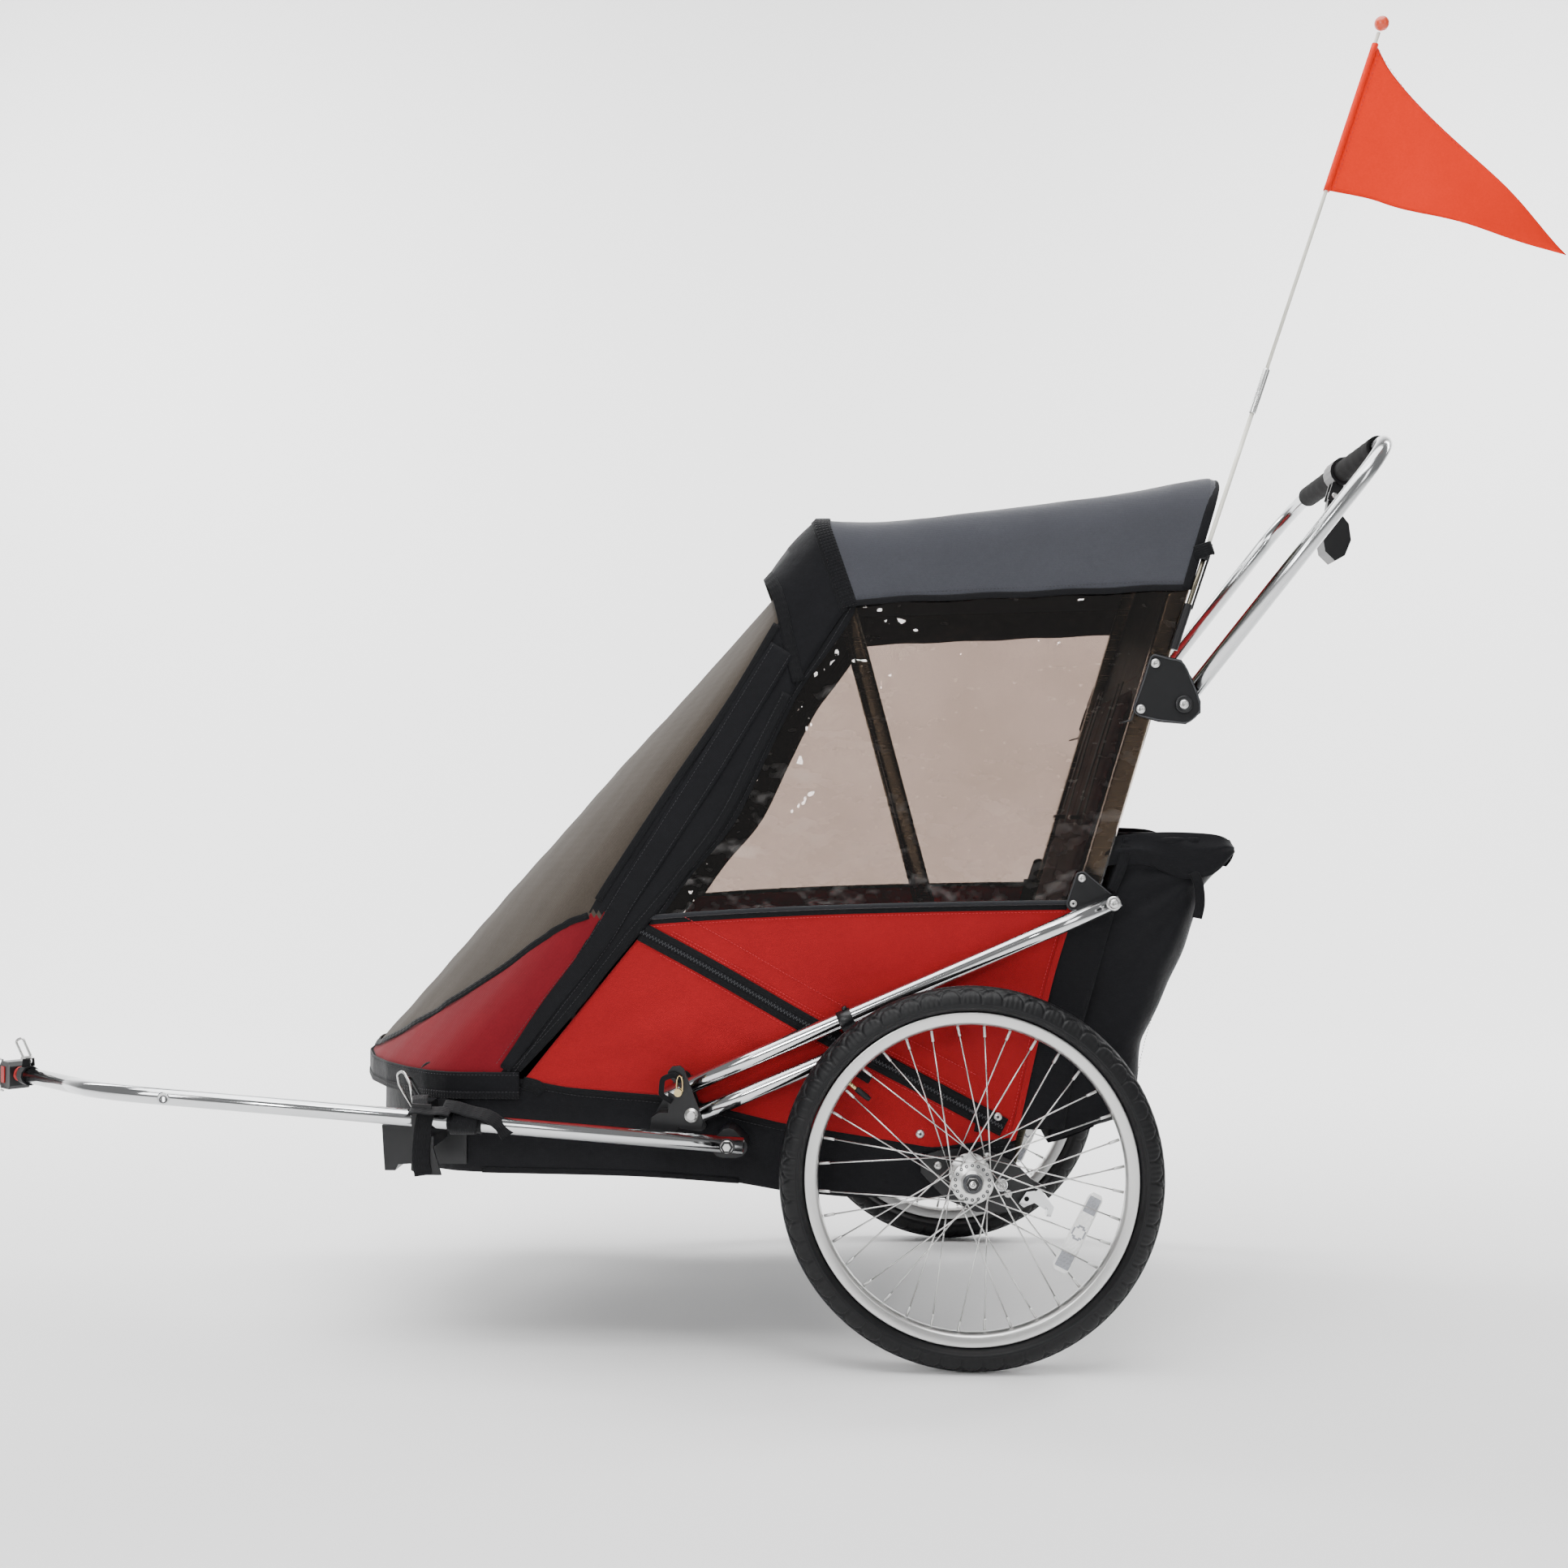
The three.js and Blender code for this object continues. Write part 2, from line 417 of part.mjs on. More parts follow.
// ---------------------------------------------------------------- hoops and cabin
const dirOf = (a, b) => { const d = [b[0] - a[0], b[1] - a[1]], L = Math.hypot(...d); return [d[0] / L, d[1] / L, L]; };
{
  const [dx, dz, L] = dirOf(PIVOT, FRONT_TOP);
  const p = (s, y) => [PIVOT[0] + dx * s, y, PIVOT[1] + dz * s];
  const y = FRONT_HOOP_Y;
  const hoop = tube(rounded([p(-9, -y), p(L, -y), p(L, y), p(-9, y)], 52, 5), 11, 12);
  add('front_hoop', 'front_hoop', cut(hoop, pinY(PIVOT[0], PIVOT[1], -290, 290, 5.6, 16)), M.tube);
}
{
  const [dx, dz, L] = dirOf(PIVOT, REAR_TOP);
  const p = (s, y) => [PIVOT[0] + dx * s, y, PIVOT[1] + dz * s];
  const y = REAR_HOOP_Y;
  const sec = [[-11, -10], [-8.5, -12.5], [8.5, -12.5], [11, -10], [11, 10], [8.5, 12.5], [-8.5, 12.5], [-11, 10]];
  const hoop = sweep(rounded([p(-8.5, -y), p(L, -y), p(L, y), p(-8.5, y)], 50, 5), sec);
  add('back_frame', 'rear_hoop', cut(hoop, pinY(PIVOT[0], PIVOT[1], -310, 310, 5.6, 16)), M.tube);
  // back panel, bowed a little to the rear, and the seat back in front of it
  const off = (s, d) => [PIVOT[0] + dx * s + dz * d, PIVOT[1] + dz * s - dx * d];
  const panel = [], pad = [];
  const rows = 8, cols = 6;
  for (let i = 0; i <= rows; i++) {
    const s = 112 + (L - 34 - 112) * i / rows, half = i === rows ? 250 : 279, row = [];
    for (let j = 0; j <= cols; j++) {
      const yy = half * (2 * j / cols - 1), bow = (1 - (yy / half) ** 2) * 14;
      const [x, z] = off(s, 5 + bow);
      row.push([x, yy, z]);
    }
    panel.push(row);
  }
  add('back_frame', 'back_panel', shell(panel, 3, () => new THREE.Vector3(-1, 0, 0.3)), M.nylon);
  const q = (s, d) => off(s, d);
  const padOutline = [q(175, -15), q(190, -18), q(560, -18), q(690, -15), q(705, -8), q(690, -1), q(190, -1), q(178, -5)];
  add('back_frame', 'seat_back', plate(padOutline, -235, 235), M.red);
}
// canopy over both hoops, and the black hood panel in front of it
{
  const topLine = [[-192, 1101], [-163, 1098.3], [-97, 1099.4], [66, 1116.8], [208, 1134.3], [306, 1151.5], [326.5, 1147]];
  const lowLine = [[-155, 980], [-130, 983], [-72, 986], [70, 991], [190, 996], [270, 999], [287, 1001]];
  const rows = topLine.map(([xt, zt], i) => {
    const [xl, zl] = lowLine[i];
    const x = (z) => xl + (xt - xl) * Math.min(1, Math.max(0, (z - zl) / (zt - 12 - zl)));
    const half = [[315.5, zl], [315.5, (zl + zt - 50) / 2], [315.5, zt - 50], [311, zt - 27], [299, zt - 10], [276, zt], [140, zt + 2], [0, zt + 2.5]];
    const pts = half.map(([y, z]) => [x(z), -y, z]);
    return [...pts, ...half.slice(0, -1).reverse().map(([y, z]) => [x(z), y, z])];
  });
  add('front_hoop', 'canopy', shell(rows, 2.8, ([x, y, z]) => new THREE.Vector3(0, -Math.sign(y) * (Math.abs(y) > 300 ? 1 : 0.02), z > 1085 ? -1 : -0.02)), M.canopy);
  const A = [[-159, 314.6, 977], [-173, 314.6, 1020], [-184.5, 314.6, 1052], [-192.5, 308, 1076], [-196, 296, 1092], [-197, 276, 1101], [-197, 0, 1103.5]];
  const B = [[-208, 314.6, 880], [-226, 314.6, 930], [-236, 314.6, 975], [-248, 309, 1010], [-256, 298, 1028], [-260, 276, 1038], [-264.5, 0, 1044]];
  const C = [[-224, 314.6, 878], [-236, 314.6, 925], [-245, 314.6, 968], [-254, 309, 1000], [-262, 298, 1016], [-266, 276, 1022], [-271, 0, 1024]];
  const full = (h) => [...h.map(([x, y, z]) => [x, -y, z]), ...h.slice(0, -1).reverse()];
  const mid = A.map((a, i) => a.map((c, k) => (c + B[i][k]) / 2));
  add('front_hoop', 'hood_panel', shell([full(A), full(mid), full(B), full(C)], 2.4, () => new THREE.Vector3(1, 0, -0.6)), M.nylon);
}
// cargo bag behind the cabin: open top box with a sagging floor
{
  const out = [[128, 420], [200, 676], [266, 682], [330, 675], [349, 662], [346, 648], [312, 616], [306, 593], [282, 518], [245, 432], [228, 400], [223, 347], [212, 313], [164, 299], [112, 272], [96, 290]];
  const hole = [[136, 424], [206.5, 700], [325, 700], [338, 655], [305, 622], [299, 595], [275, 521], [238, 435], [221, 402], [216, 350], [207, 319], [162, 305.5], [114, 281], [103, 296]];
  add('back_frame', 'cargo_bag', cut(plate(out, -302, 302), plate(hole, -297, 297)), M.nylon);
}
// handle side plates with their pivot bolts
{
  const out = [[242.7, 916.4], [276.6, 907.9], [290.4, 883.5], [301, 853.9], [301, 839], [281.9, 824.2], [247, 827.4], [220.5, 834.8], [213.1, 844.3], [216.2, 854.9], [236.4, 913.2]];
  const p = plate(out, -317, -312.6);
  const bolt = pinY(HANDLE_PIVOT[0], HANDLE_PIVOT[1], -316, -283, 4, 12);
  const washer = pinY(HANDLE_PIVOT[0], HANDLE_PIVOT[1], -320.5, -316.5, 10, 16);
  const s1 = pinY(242.5, 903.5, -319, -316.5, 6.4, 12), s2 = pinY(223.5, 844, -319, -316.5, 6.4, 12);
  pair('back_frame', 'handle_plate_*', join(p, bolt, washer, s1, s2), M.black);
  const tri = plate(hullOutline([[147, 624], [136, 591], [STRUT_REAR[0], STRUT_REAR[1]]], 9.5, 12), -318.1, -314.8);
  const bolt2 = pinY(STRUT_REAR[0], STRUT_REAR[1], -345, -311.4, 4, 12);
  const s3 = pinY(147, 624, -318.7, -311.4, 5.5, 12), s4 = pinY(136, 591, -318.7, -314.5, 5.5, 12);
  const cap = pinY(STRUT_REAR[0], STRUT_REAR[1], -347, -343.5, 6.5, 12);
  pair('back_frame', 'strut_plate_*', join(tri, bolt2, cap, s3, s4), M.black);
}
// upper struts and their lock pins
{
  const [dx, dz] = dirOf(STRUT_REAR, STRUT_FRONT);
  const rear = [STRUT_REAR[0] - dx * 9, STRUT_REAR[1] - dz * 9];
  const bar = tube([[STRUT_FRONT[0], -STRUT_Y, STRUT_FRONT[1]], [rear[0], -STRUT_Y, rear[1]]], TUBE_R, 12);
  const c0 = [-166.5, 436.5], c1 = [-150, 444];
  const collar = tube([[c0[0], -STRUT_Y, c0[1]], [c1[0], -STRUT_Y, c1[1]]], 14.4, 12);
  pair('strut_*', 'upper_strut_*', cut(join(bar, collar), pinY(STRUT_REAR[0], STRUT_REAR[1], -350, -310, 4.6, 16), pinY(LOCK_PIN[0], LOCK_PIN[1], -350, -310, 4, 16)), M.tube);
  const pin = pinY(LOCK_PIN[0], LOCK_PIN[1], -354, -315.5, 3.4, 12);
  const head = pinY(LOCK_PIN[0], LOCK_PIN[1], -358.5, -353, 5.2, 12);
  const loopPts = [];
  for (let k = 0; k <= 9; k++) { const a = rad(-60 + 30 * k); loopPts.push([LOCK_PIN[0] - 1 + 4 * Math.cos(a) + 3, -356, LOCK_PIN[1] + 9 + 13 * Math.sin(a)]); }
  const wire = tube(loopPts, 1.1, 6);
  pair('lock_pin_*', 'lock_pin_*', join(pin, head, wire), M.brass);
}
// flag socket: cup with an upper loop on one stem
const FD = (() => { const d = [FLAG_HIGH[0] - FLAG_LOW[0], FLAG_HIGH[1] - FLAG_LOW[1]], L = Math.hypot(...d); return [d[0] / L, d[1] / L]; })();
const poleAt = (z) => [FLAG_LOW[0] + (z - FLAG_LOW[1]) * FD[0] / FD[1], z];
function onPole(geo, z) {     // a solid made round +Y is laid round the pole at height z
  const g = clean(geo);
  const q = new THREE.Quaternion().setFromUnitVectors(new THREE.Vector3(0, 1, 0), new THREE.Vector3(FD[0], 0, FD[1]));
  g.applyQuaternion(q);
  const [x] = poleAt(z);
  g.translate(x, -FLAG_Y, z);
  return g;
}
{
  const cup = onPole(lathe([[0, -4], [5.6, -4], [5.6, 58], [3.6, 58], [3.6, 0], [0, 0]], 12), 925);
  const loop = onPole(lathe([[3.6, 0], [5.6, 0], [5.6, 22], [3.6, 22], [3.6, 0]], 12), 1038);
  const [xa] = poleAt(975), [xb] = poleAt(1045);
  const stem = tube([[xa + 5.4, -FLAG_Y, 973.5], [xb + 5.4, -FLAG_Y, 1043.5]], 1.6, 6);
  add('back_frame', 'flag_socket', join(cup, loop, stem), M.black);
}
// ---------------------------------------------------------------- flag
{
  const len = (z0, z1) => (z1 - z0) / FD[1];
  const pole = onPole(lathe([[0, 0], [3, 0], [3, len(926, 1228)], [4.6, len(926, 1229)], [4.6, len(926, 1287)], [2.6, len(926, 1288)], [2.6, len(926, 1724)], [0, len(926, 1724)]], 8), 926);
  add('flag_pole', 'flag_pole', pole, M.pole);
  const ball = onPole(new THREE.SphereGeometry(9.5, 12, 8), 1734);
  add('flag_pole', 'flag_ball', ball, M.flag);
  const p = (z, d) => { const [x] = poleAt(z); return [x + d * FD[1], z - d * FD[0]]; };
  const up = p(1706, 3.2), lo = p(1518, 3.2);
  add('flag_pole', 'flag', plate([up, lo, [560, 1492], [640, 1471], [772, 1431], [690, 1520], [598, 1612]], -FLAG_Y - 1.2, -FLAG_Y + 1.2), M.flag);
}
// ---------------------------------------------------------------- push handle
{
  const [dx, dz, L] = dirOf(HANDLE_PIVOT, HANDLE_BAR);
  const p = (s, y) => [HANDLE_PIVOT[0] + dx * s, y, HANDLE_PIVOT[1] + dz * s];
  const y = HANDLE_Y;
  const bar = tube(rounded([p(-14, -y), p(L, -y), p(L, y), p(-14, y)], 85, 6), TUBE_R, 12);
  add('handle', 'handlebar', cut(bar, pinY(HANDLE_PIVOT[0], HANDLE_PIVOT[1], -320, 320, 4.6, 16)), M.tube);
  const grip = lathe([[11.6, -205], [15.5, -203], [16, -190], [16, 190], [15.5, 203], [11.6, 205], [11.6, -205]], 16);
  grip.translate(HANDLE_BAR[0], 0, HANDLE_BAR[1]);
  add('handle', 'grip_sleeve', grip, M.foam);
  const clamp = lathe([[16.4, -22], [20.5, -22], [20.5, 22], [16.4, 22], [16.4, -22]], 16);
  clamp.translate(HANDLE_BAR[0], 0, HANDLE_BAR[1]);
  const ears = [-1, 1].map((s) => plate([[546, 1192], [562, 1192], [558, 1164], [546, 1160], [538, 1166]], s * 8, s * 12));
  add('handle', 'lever_clamp', cut(join(clamp, ...ears), pinY(548, 1171, -30, 30, 2.6, 10), pinY(HANDLE_BAR[0], HANDLE_BAR[1], -30, 30, 16.4, 16)), M.black);
  const stem = plate([[543, 1178], [553, 1176], [556, 1150], [548, 1132], [536, 1136], [539, 1160]], -7.6, 7.6);
  const leaf = plate([[536, 1142], [552, 1146], [566, 1128], [569, 1104], [560, 1082], [546, 1074], [532, 1088], [528, 1112]], -22, 22);
  const pin = pinY(548, 1171, -12.5, 12.5, 2.2, 10);
  add('hand_lever', 'hand_lever', join(stem, leaf, pin), M.black);
}
// ---------------------------------------------------------------- tow bar and hitch
{
  const slope = (TOW_BEND[1] - TOW_PIVOT[1]) / (TOW_BEND[0] - TOW_PIVOT[0]);
  const zAt = (x) => TOW_PIVOT[1] + slope * (x - TOW_PIVOT[0]);
  const path = rounded([[-290, -TOW_Y, zAt(-290)], [TOW_BEND[0] - 20, -TOW_Y, zAt(TOW_BEND[0] - 20)], TOW_END], 150, 6);
  add('tow_bar', 'tow_bar', cut(tube(path, TUBE_R, 14), pinY(TOW_PIVOT[0], TOW_PIVOT[1], -400, -350, 4.7, 16)), M.chrome);
  // webbing strap round the bar at the cradle, with its tail
  const xs = -648, zs = zAt(xs);
  const sleeve = (() => {
    const g = lathe([[11.5, -22], [13.2, -22], [13.2, 22], [11.5, 22], [11.5, -22]], 14);
    g.applyQuaternion(new THREE.Quaternion().setFromUnitVectors(new THREE.Vector3(0, 1, 0), new THREE.Vector3(-1, 0, -slope).normalize()));
    g.translate(xs, -TOW_Y, zs);
    return g;
  })();
  const tail = plate([[-684, zs + 18], [-630, zs + 13.2], [-628, zs + 11.3], [-660, zs + 13.2], [-684, zs + 15.6]], -TOW_Y - 9, -TOW_Y + 9);
  add('tow_bar', 'tow_strap', join(sleeve, tail), M.nylon);
  const [hx, hy, hz] = HITCH;
  const turn = (g, dz = 0) => { const c = clean(g); c.rotateZ(rad(-42)).translate(hx, hy, hz + dz); return c; };
  // hitch coupler, local x along the bar's end
  const body = turn(cut(plate([[-17, -15], [-12, -20], [14, -20], [18, -15], [18, 13], [12, 19], [-10, 19], [-17, 12]], -15, 15), box(-9, 2, -20, 20, -12, 12)));
  add('hitch', 'hitch_body', body, M.black);
  add('hitch', 'hitch_elastomer', turn(box(-8.6, 1.6, -16.5, 16.5, -11.6, 11.6)), M.elastomer);
  const wirePts = [];
  for (let k = 0; k <= 8; k++) { const a = rad(100 + 20 * k); wirePts.push([-6 + 17 * Math.cos(a), 0, 1 + 21 * Math.sin(a)]); }
  const ringWire = turn(tube([[2, -18.4, 21.6], [-6, -18.2, 22.2], ...wirePts.map(([x, y, z]) => [x - 1.5, -17.6, z]), [-4, -18.2, -22], [4, -18.4, -22]], 1.6, 6));
  add('hitch', 'hitch_ring', ringWire, M.chrome);
}
{
  // safety webbing over the bar's end and its snap hook
  const e = new THREE.Vector3(...TOW_END), b = new THREE.Vector3(TOW_BEND[0] - 20, -TOW_Y, TOW_BEND[1]);
  const d = b.clone().sub(e).normalize();
  const c = e.clone().addScaledVector(d, 26);
  const g = lathe([[11.6, -11], [14, -11], [14, 11], [11.6, 11], [11.6, -11]], 12);
  g.applyQuaternion(new THREE.Quaternion().setFromUnitVectors(new THREE.Vector3(0, 1, 0), d));
  g.translate(c.x, c.y, c.z);
  const eye = [-1, 1].map((s) => plate([[c.x - 6, c.z + 12.5], [c.x + 6, c.z + 12.5], [c.x + 5, c.z + 24], [c.x - 5, c.z + 24]], c.y + s * 5, c.y + s * 8));
  const pin = pinY(c.x, c.z + 20, c.y - 7, c.y + 7, 1.6, 8);
  add('tow_bar', 'safety_strap', join(g, ...eye, pin), M.nylon);
  const hook = tube(rounded([[c.x - 8, c.y, c.z + 26], [c.x - 19, c.y, c.z + 49], [c.x - 9, c.y, c.z + 54], [c.x + 3, c.y, c.z + 28]], 4, 3), 1.9, 8);
  const bar = plate(hullOutline([[c.x - 8.5, c.z + 24.6], [c.x + 3, c.z + 25.6]], 2.4, 8), c.y - 2.2, c.y + 2.2);
  const eyeRing = (() => {
    const r = lathe([[2.2, -2], [4.6, -2], [4.6, 2], [2.2, 2], [2.2, -2]], 12);
    r.translate(c.x, c.y, c.z + 20);
    return r;
  })();
  add('snap_hook', 'snap_hook', join(eyeRing, bar, hook), M.chrome);
}
// ---------------------------------------------------------------- brake pedal
{
  const arm = plate([[64, 204], [70, 199], [84, 205], [98, 196], [104, 203], [88, 221], [74, 219]], -329, -319);
  const tread = plate([[84, 222], [90, 226], [108, 202], [104, 190], [98, 190], [100, 200]], -342, -318.4);
  const hole = pinY(74, 210, -340, -310, 3.4, 12);
  add('brake_pedal', 'brake_pedal', cut(join(arm, tread), hole), M.tube);
}

trailer.position.set(ORIGIN_SHIFT_X, 0, 0);
trailer.updateMatrixWorld(true);
export default trailer;
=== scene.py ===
import bpy, bmesh, math, random
import numpy as np
from mathutils import Vector, Matrix


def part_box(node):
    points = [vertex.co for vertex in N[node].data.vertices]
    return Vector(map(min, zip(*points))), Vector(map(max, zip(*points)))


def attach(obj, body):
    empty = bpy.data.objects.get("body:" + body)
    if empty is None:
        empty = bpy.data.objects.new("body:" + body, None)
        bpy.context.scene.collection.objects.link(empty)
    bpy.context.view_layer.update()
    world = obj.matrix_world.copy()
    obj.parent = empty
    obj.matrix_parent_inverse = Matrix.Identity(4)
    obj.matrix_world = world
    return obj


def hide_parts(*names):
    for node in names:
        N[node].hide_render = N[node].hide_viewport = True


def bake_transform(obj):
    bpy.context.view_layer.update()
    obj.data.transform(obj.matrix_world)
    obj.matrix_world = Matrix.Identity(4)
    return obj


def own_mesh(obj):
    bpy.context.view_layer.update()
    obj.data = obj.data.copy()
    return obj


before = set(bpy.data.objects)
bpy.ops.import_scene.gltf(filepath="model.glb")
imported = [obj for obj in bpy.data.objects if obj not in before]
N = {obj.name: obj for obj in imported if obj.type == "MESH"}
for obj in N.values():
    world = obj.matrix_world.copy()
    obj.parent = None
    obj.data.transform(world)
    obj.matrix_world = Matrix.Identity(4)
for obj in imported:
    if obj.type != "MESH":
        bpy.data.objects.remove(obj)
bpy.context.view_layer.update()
random.seed(7)
RNG = np.random.default_rng(11)

# The frame's x of the wheel axle: every length below is laid out in millimetres
# from the axle (x), the centre plane (y) and the ground (z).
_lo, _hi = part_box("tyre_left")
SX = (_lo.x + _hi.x) / 2


def P(x, y, z):
    return (x / 1000 + SX, y / 1000, z / 1000)


# ------------------------------------------------------------------ materials
def new_mat(name):
    m = bpy.data.materials.new(name)
    m.use_nodes = True
    nt = m.node_tree
    for n in list(nt.nodes):
        nt.nodes.remove(n)
    out = nt.nodes.new("ShaderNodeOutputMaterial")
    b = nt.nodes.new("ShaderNodeBsdfPrincipled")
    nt.links.new(b.outputs[0], out.inputs[0])
    return m, nt, b


def mapping(nt, source="Object", scale=(1, 1, 1), rot=(0, 0, 0)):
    tc = nt.nodes.new("ShaderNodeTexCoord")
    mp = nt.nodes.new("ShaderNodeMapping")
    mp.inputs["Scale"].default_value = scale
    mp.inputs["Rotation"].default_value = rot
    nt.links.new(tc.outputs[source], mp.inputs[0])
    return mp.outputs[0]


def noise(nt, vec, scale, detail=3, rough=0.55):
    n = nt.nodes.new("ShaderNodeTexNoise")
    n.inputs["Scale"].default_value = scale
    n.inputs["Detail"].default_value = detail
    n.inputs["Roughness"].default_value = rough
    nt.links.new(vec, n.inputs["Vector"])
    return n.outputs["Fac"]


def wave(nt, vec, scale, direction="X", distortion=0.0):
    w = nt.nodes.new("ShaderNodeTexWave")
    w.wave_type = "BANDS"
    w.bands_direction = direction
    w.inputs["Scale"].default_value = scale
    w.inputs["Distortion"].default_value = distortion
    w.inputs["Detail"].default_value = 1
    nt.links.new(vec, w.inputs["Vector"])
    return w.outputs["Fac"]


def ramp(nt, fac, stops):
    r = nt.nodes.new("ShaderNodeValToRGB")
    while len(r.color_ramp.elements) > 1:
        r.color_ramp.elements.remove(r.color_ramp.elements[-1])
    r.color_ramp.elements[0].position = stops[0][0]
    r.color_ramp.elements[0].color = (*stops[0][1], 1)
    for p, c in stops[1:]:
        e = r.color_ramp.elements.new(p)
        e.color = (*c, 1)
    nt.links.new(fac, r.inputs[0])
    return r.outputs[0]


def math_node(nt, op, a, b=None):
    m = nt.nodes.new("ShaderNodeMath")
    m.operation = op
    for i, v in enumerate((a, b)):
        if v is None:
            continue
        if isinstance(v, (int, float)):
            m.inputs[i].default_value = v
        else:
            nt.links.new(v, m.inputs[i])
    return m.outputs[0]


def bump(nt, bsdf, height, dist, strength=1.0, below=None):
    b = nt.nodes.new("ShaderNodeBump")
    b.inputs["Distance"].default_value = dist
    b.inputs["Strength"].default_value = strength
    nt.links.new(height, b.inputs["Height"])
    if below is not None:
        nt.links.new(below, b.inputs["Normal"])
    nt.links.new(b.outputs[0], bsdf.inputs["Normal"])
    return b.outputs[0]


def shade(c, k):
    return tuple(min(1, x * k) for x in c)


def fabric(name, color, pitch=0.0011, rough=0.85, sheen=0.25, crumple=0.0012, vary=0.12, ribs=False, alpha=1.0, uv=True, weave=0.00022, spec=0.12):
    m, nt, b = new_mat(name)
    vec = mapping(nt, "UV" if uv else "Object", (1, 1, 1))
    k = 1 / (pitch * 6.2832) * 2 * math.pi / 20 * 3.1416  # bands per metre for this pitch
    a = wave(nt, vec, k, "X", 0.15)
    c = wave(nt, vec, k * (0.33 if ribs else 1.0), "Y", 0.15)
    mix = math_node(nt, "MULTIPLY" if ribs else "MAXIMUM", a, c)
    obj = mapping(nt, "Object", (1, 1, 1))
    big = noise(nt, obj, 9, 4)
    fine = noise(nt, obj, 420, 2)
    col = ramp(nt, math_node(nt, "ADD", math_node(nt, "MULTIPLY", big, 0.55), math_node(nt, "MULTIPLY", fine, 0.45)),
               [(0.30, shade(color, 1 - vary)), (0.50, color), (0.72, shade(color, 1 + vary * 1.3))])
    nt.links.new(col, b.inputs["Base Color"])
    b.inputs["Roughness"].default_value = rough
    b.inputs["Sheen Weight"].default_value = sheen
    b.inputs["Sheen Roughness"].default_value = 0.5
    b.inputs["Specular IOR Level"].default_value = spec
    low = noise(nt, obj, 26, 4, 0.6)
    nb = nt.nodes.new("ShaderNodeBump")
    nb.inputs["Distance"].default_value = crumple
    nt.links.new(low, nb.inputs["Height"])
    bump(nt, b, mix, weave, 0.8, nb.outputs[0])
    if alpha < 1:
        b.inputs["Alpha"].default_value = alpha
    return m


def net(name, color, alpha=0.8, pitch=0.0022):
    # woven net: the holes between its threads let some of what is behind show
    m = fabric(name, color, pitch=pitch, rough=0.9, sheen=0.10, crumple=0.0009, vary=0.16, ribs=True, alpha=alpha, weave=0.00018)
    return m


def metal(name, color, rough, streak=0.06, vary=0.06, metallic=1.0, bumpd=0.00004):
    m, nt, b = new_mat(name)
    obj = mapping(nt, "Object", (1, 1, 1))
    stretched = mapping(nt, "Object", (6, 160, 160))
    f = noise(nt, stretched, 3, 3)
    g = noise(nt, obj, 14, 4)
    nt.links.new(ramp(nt, g, [(0.3, shade(color, 1 - vary)), (0.7, color)]), b.inputs["Base Color"])
    b.inputs["Metallic"].default_value = metallic
    r = nt.nodes.new("ShaderNodeMapRange")
    r.inputs["To Min"].default_value = max(0.02, rough - streak)
    r.inputs["To Max"].default_value = rough + streak
    nt.links.new(f, r.inputs["Value"])
    nt.links.new(r.outputs[0], b.inputs["Roughness"])
    bump(nt, b, f, bumpd, 0.6)
    return m


def plastic(name, color, rough=0.42, grain=900, depth=0.00006, vary=0.15, coat=0.0, spec=0.5, wear=0.05):
    m, nt, b = new_mat(name)
    obj = mapping(nt, "Object", (1, 1, 1))
    big = noise(nt, obj, 20, 4)
    nt.links.new(ramp(nt, big, [(0.3, shade(color, 1 - vary)), (0.62, color), (0.8, shade(color, 1 + vary * 2))]), b.inputs["Base Color"])
    r = nt.nodes.new("ShaderNodeMapRange")
    r.inputs["To Min"].default_value = max(0.03, rough - wear)
    r.inputs["To Max"].default_value = rough + wear
    nt.links.new(noise(nt, obj, 60, 3), r.inputs["Value"])
    nt.links.new(r.outputs[0], b.inputs["Roughness"])
    b.inputs["Specular IOR Level"].default_value = spec
    if coat:
        b.inputs["Coat Weight"].default_value = coat
        b.inputs["Coat Roughness"].default_value = 0.1
    bump(nt, b, noise(nt, obj, grain, 2), depth, 0.7)
    return m


def vinyl(name):
    # smoky film: clear tint, with a glossy skin whose soft buckles catch the light
    m, nt, b = new_mat(name)
    obj = mapping(nt, "Object", (1, 1, 1))
    nt.links.new(ramp(nt, noise(nt, obj, 5, 3), [(0.3, (0.462, 0.392, 0.352)), (0.7, (0.525, 0.452, 0.412))]), b.inputs["Base Color"])
    b.inputs["Roughness"].default_value = 0.02
    b.inputs["Transmission Weight"].default_value = 1.0
    b.inputs["IOR"].default_value = 1.04
    b.inputs["Coat Weight"].default_value = 1.0
    b.inputs["Coat Roughness"].default_value = 0.03
    b.inputs["Coat IOR"].default_value = 1.5
    big = noise(nt, obj, 16, 3, 0.5)
    mid = noise(nt, obj, 48, 2, 0.5)
    nb = nt.nodes.new("ShaderNodeBump")
    nb.inputs["Distance"].default_value = 0.006
    nb.inputs["Strength"].default_value = 0.9
    nt.links.new(big, nb.inputs["Height"])
    nb2 = nt.nodes.new("ShaderNodeBump")
    nb2.inputs["Distance"].default_value = 0.0005
    nb2.inputs["Strength"].default_value = 0.3
    nt.links.new(mid, nb2.inputs["Height"])
    nt.links.new(nb.outputs[0], nb2.inputs["Normal"])
    nt.links.new(nb2.outputs[0], b.inputs["Coat Normal"])
    return m


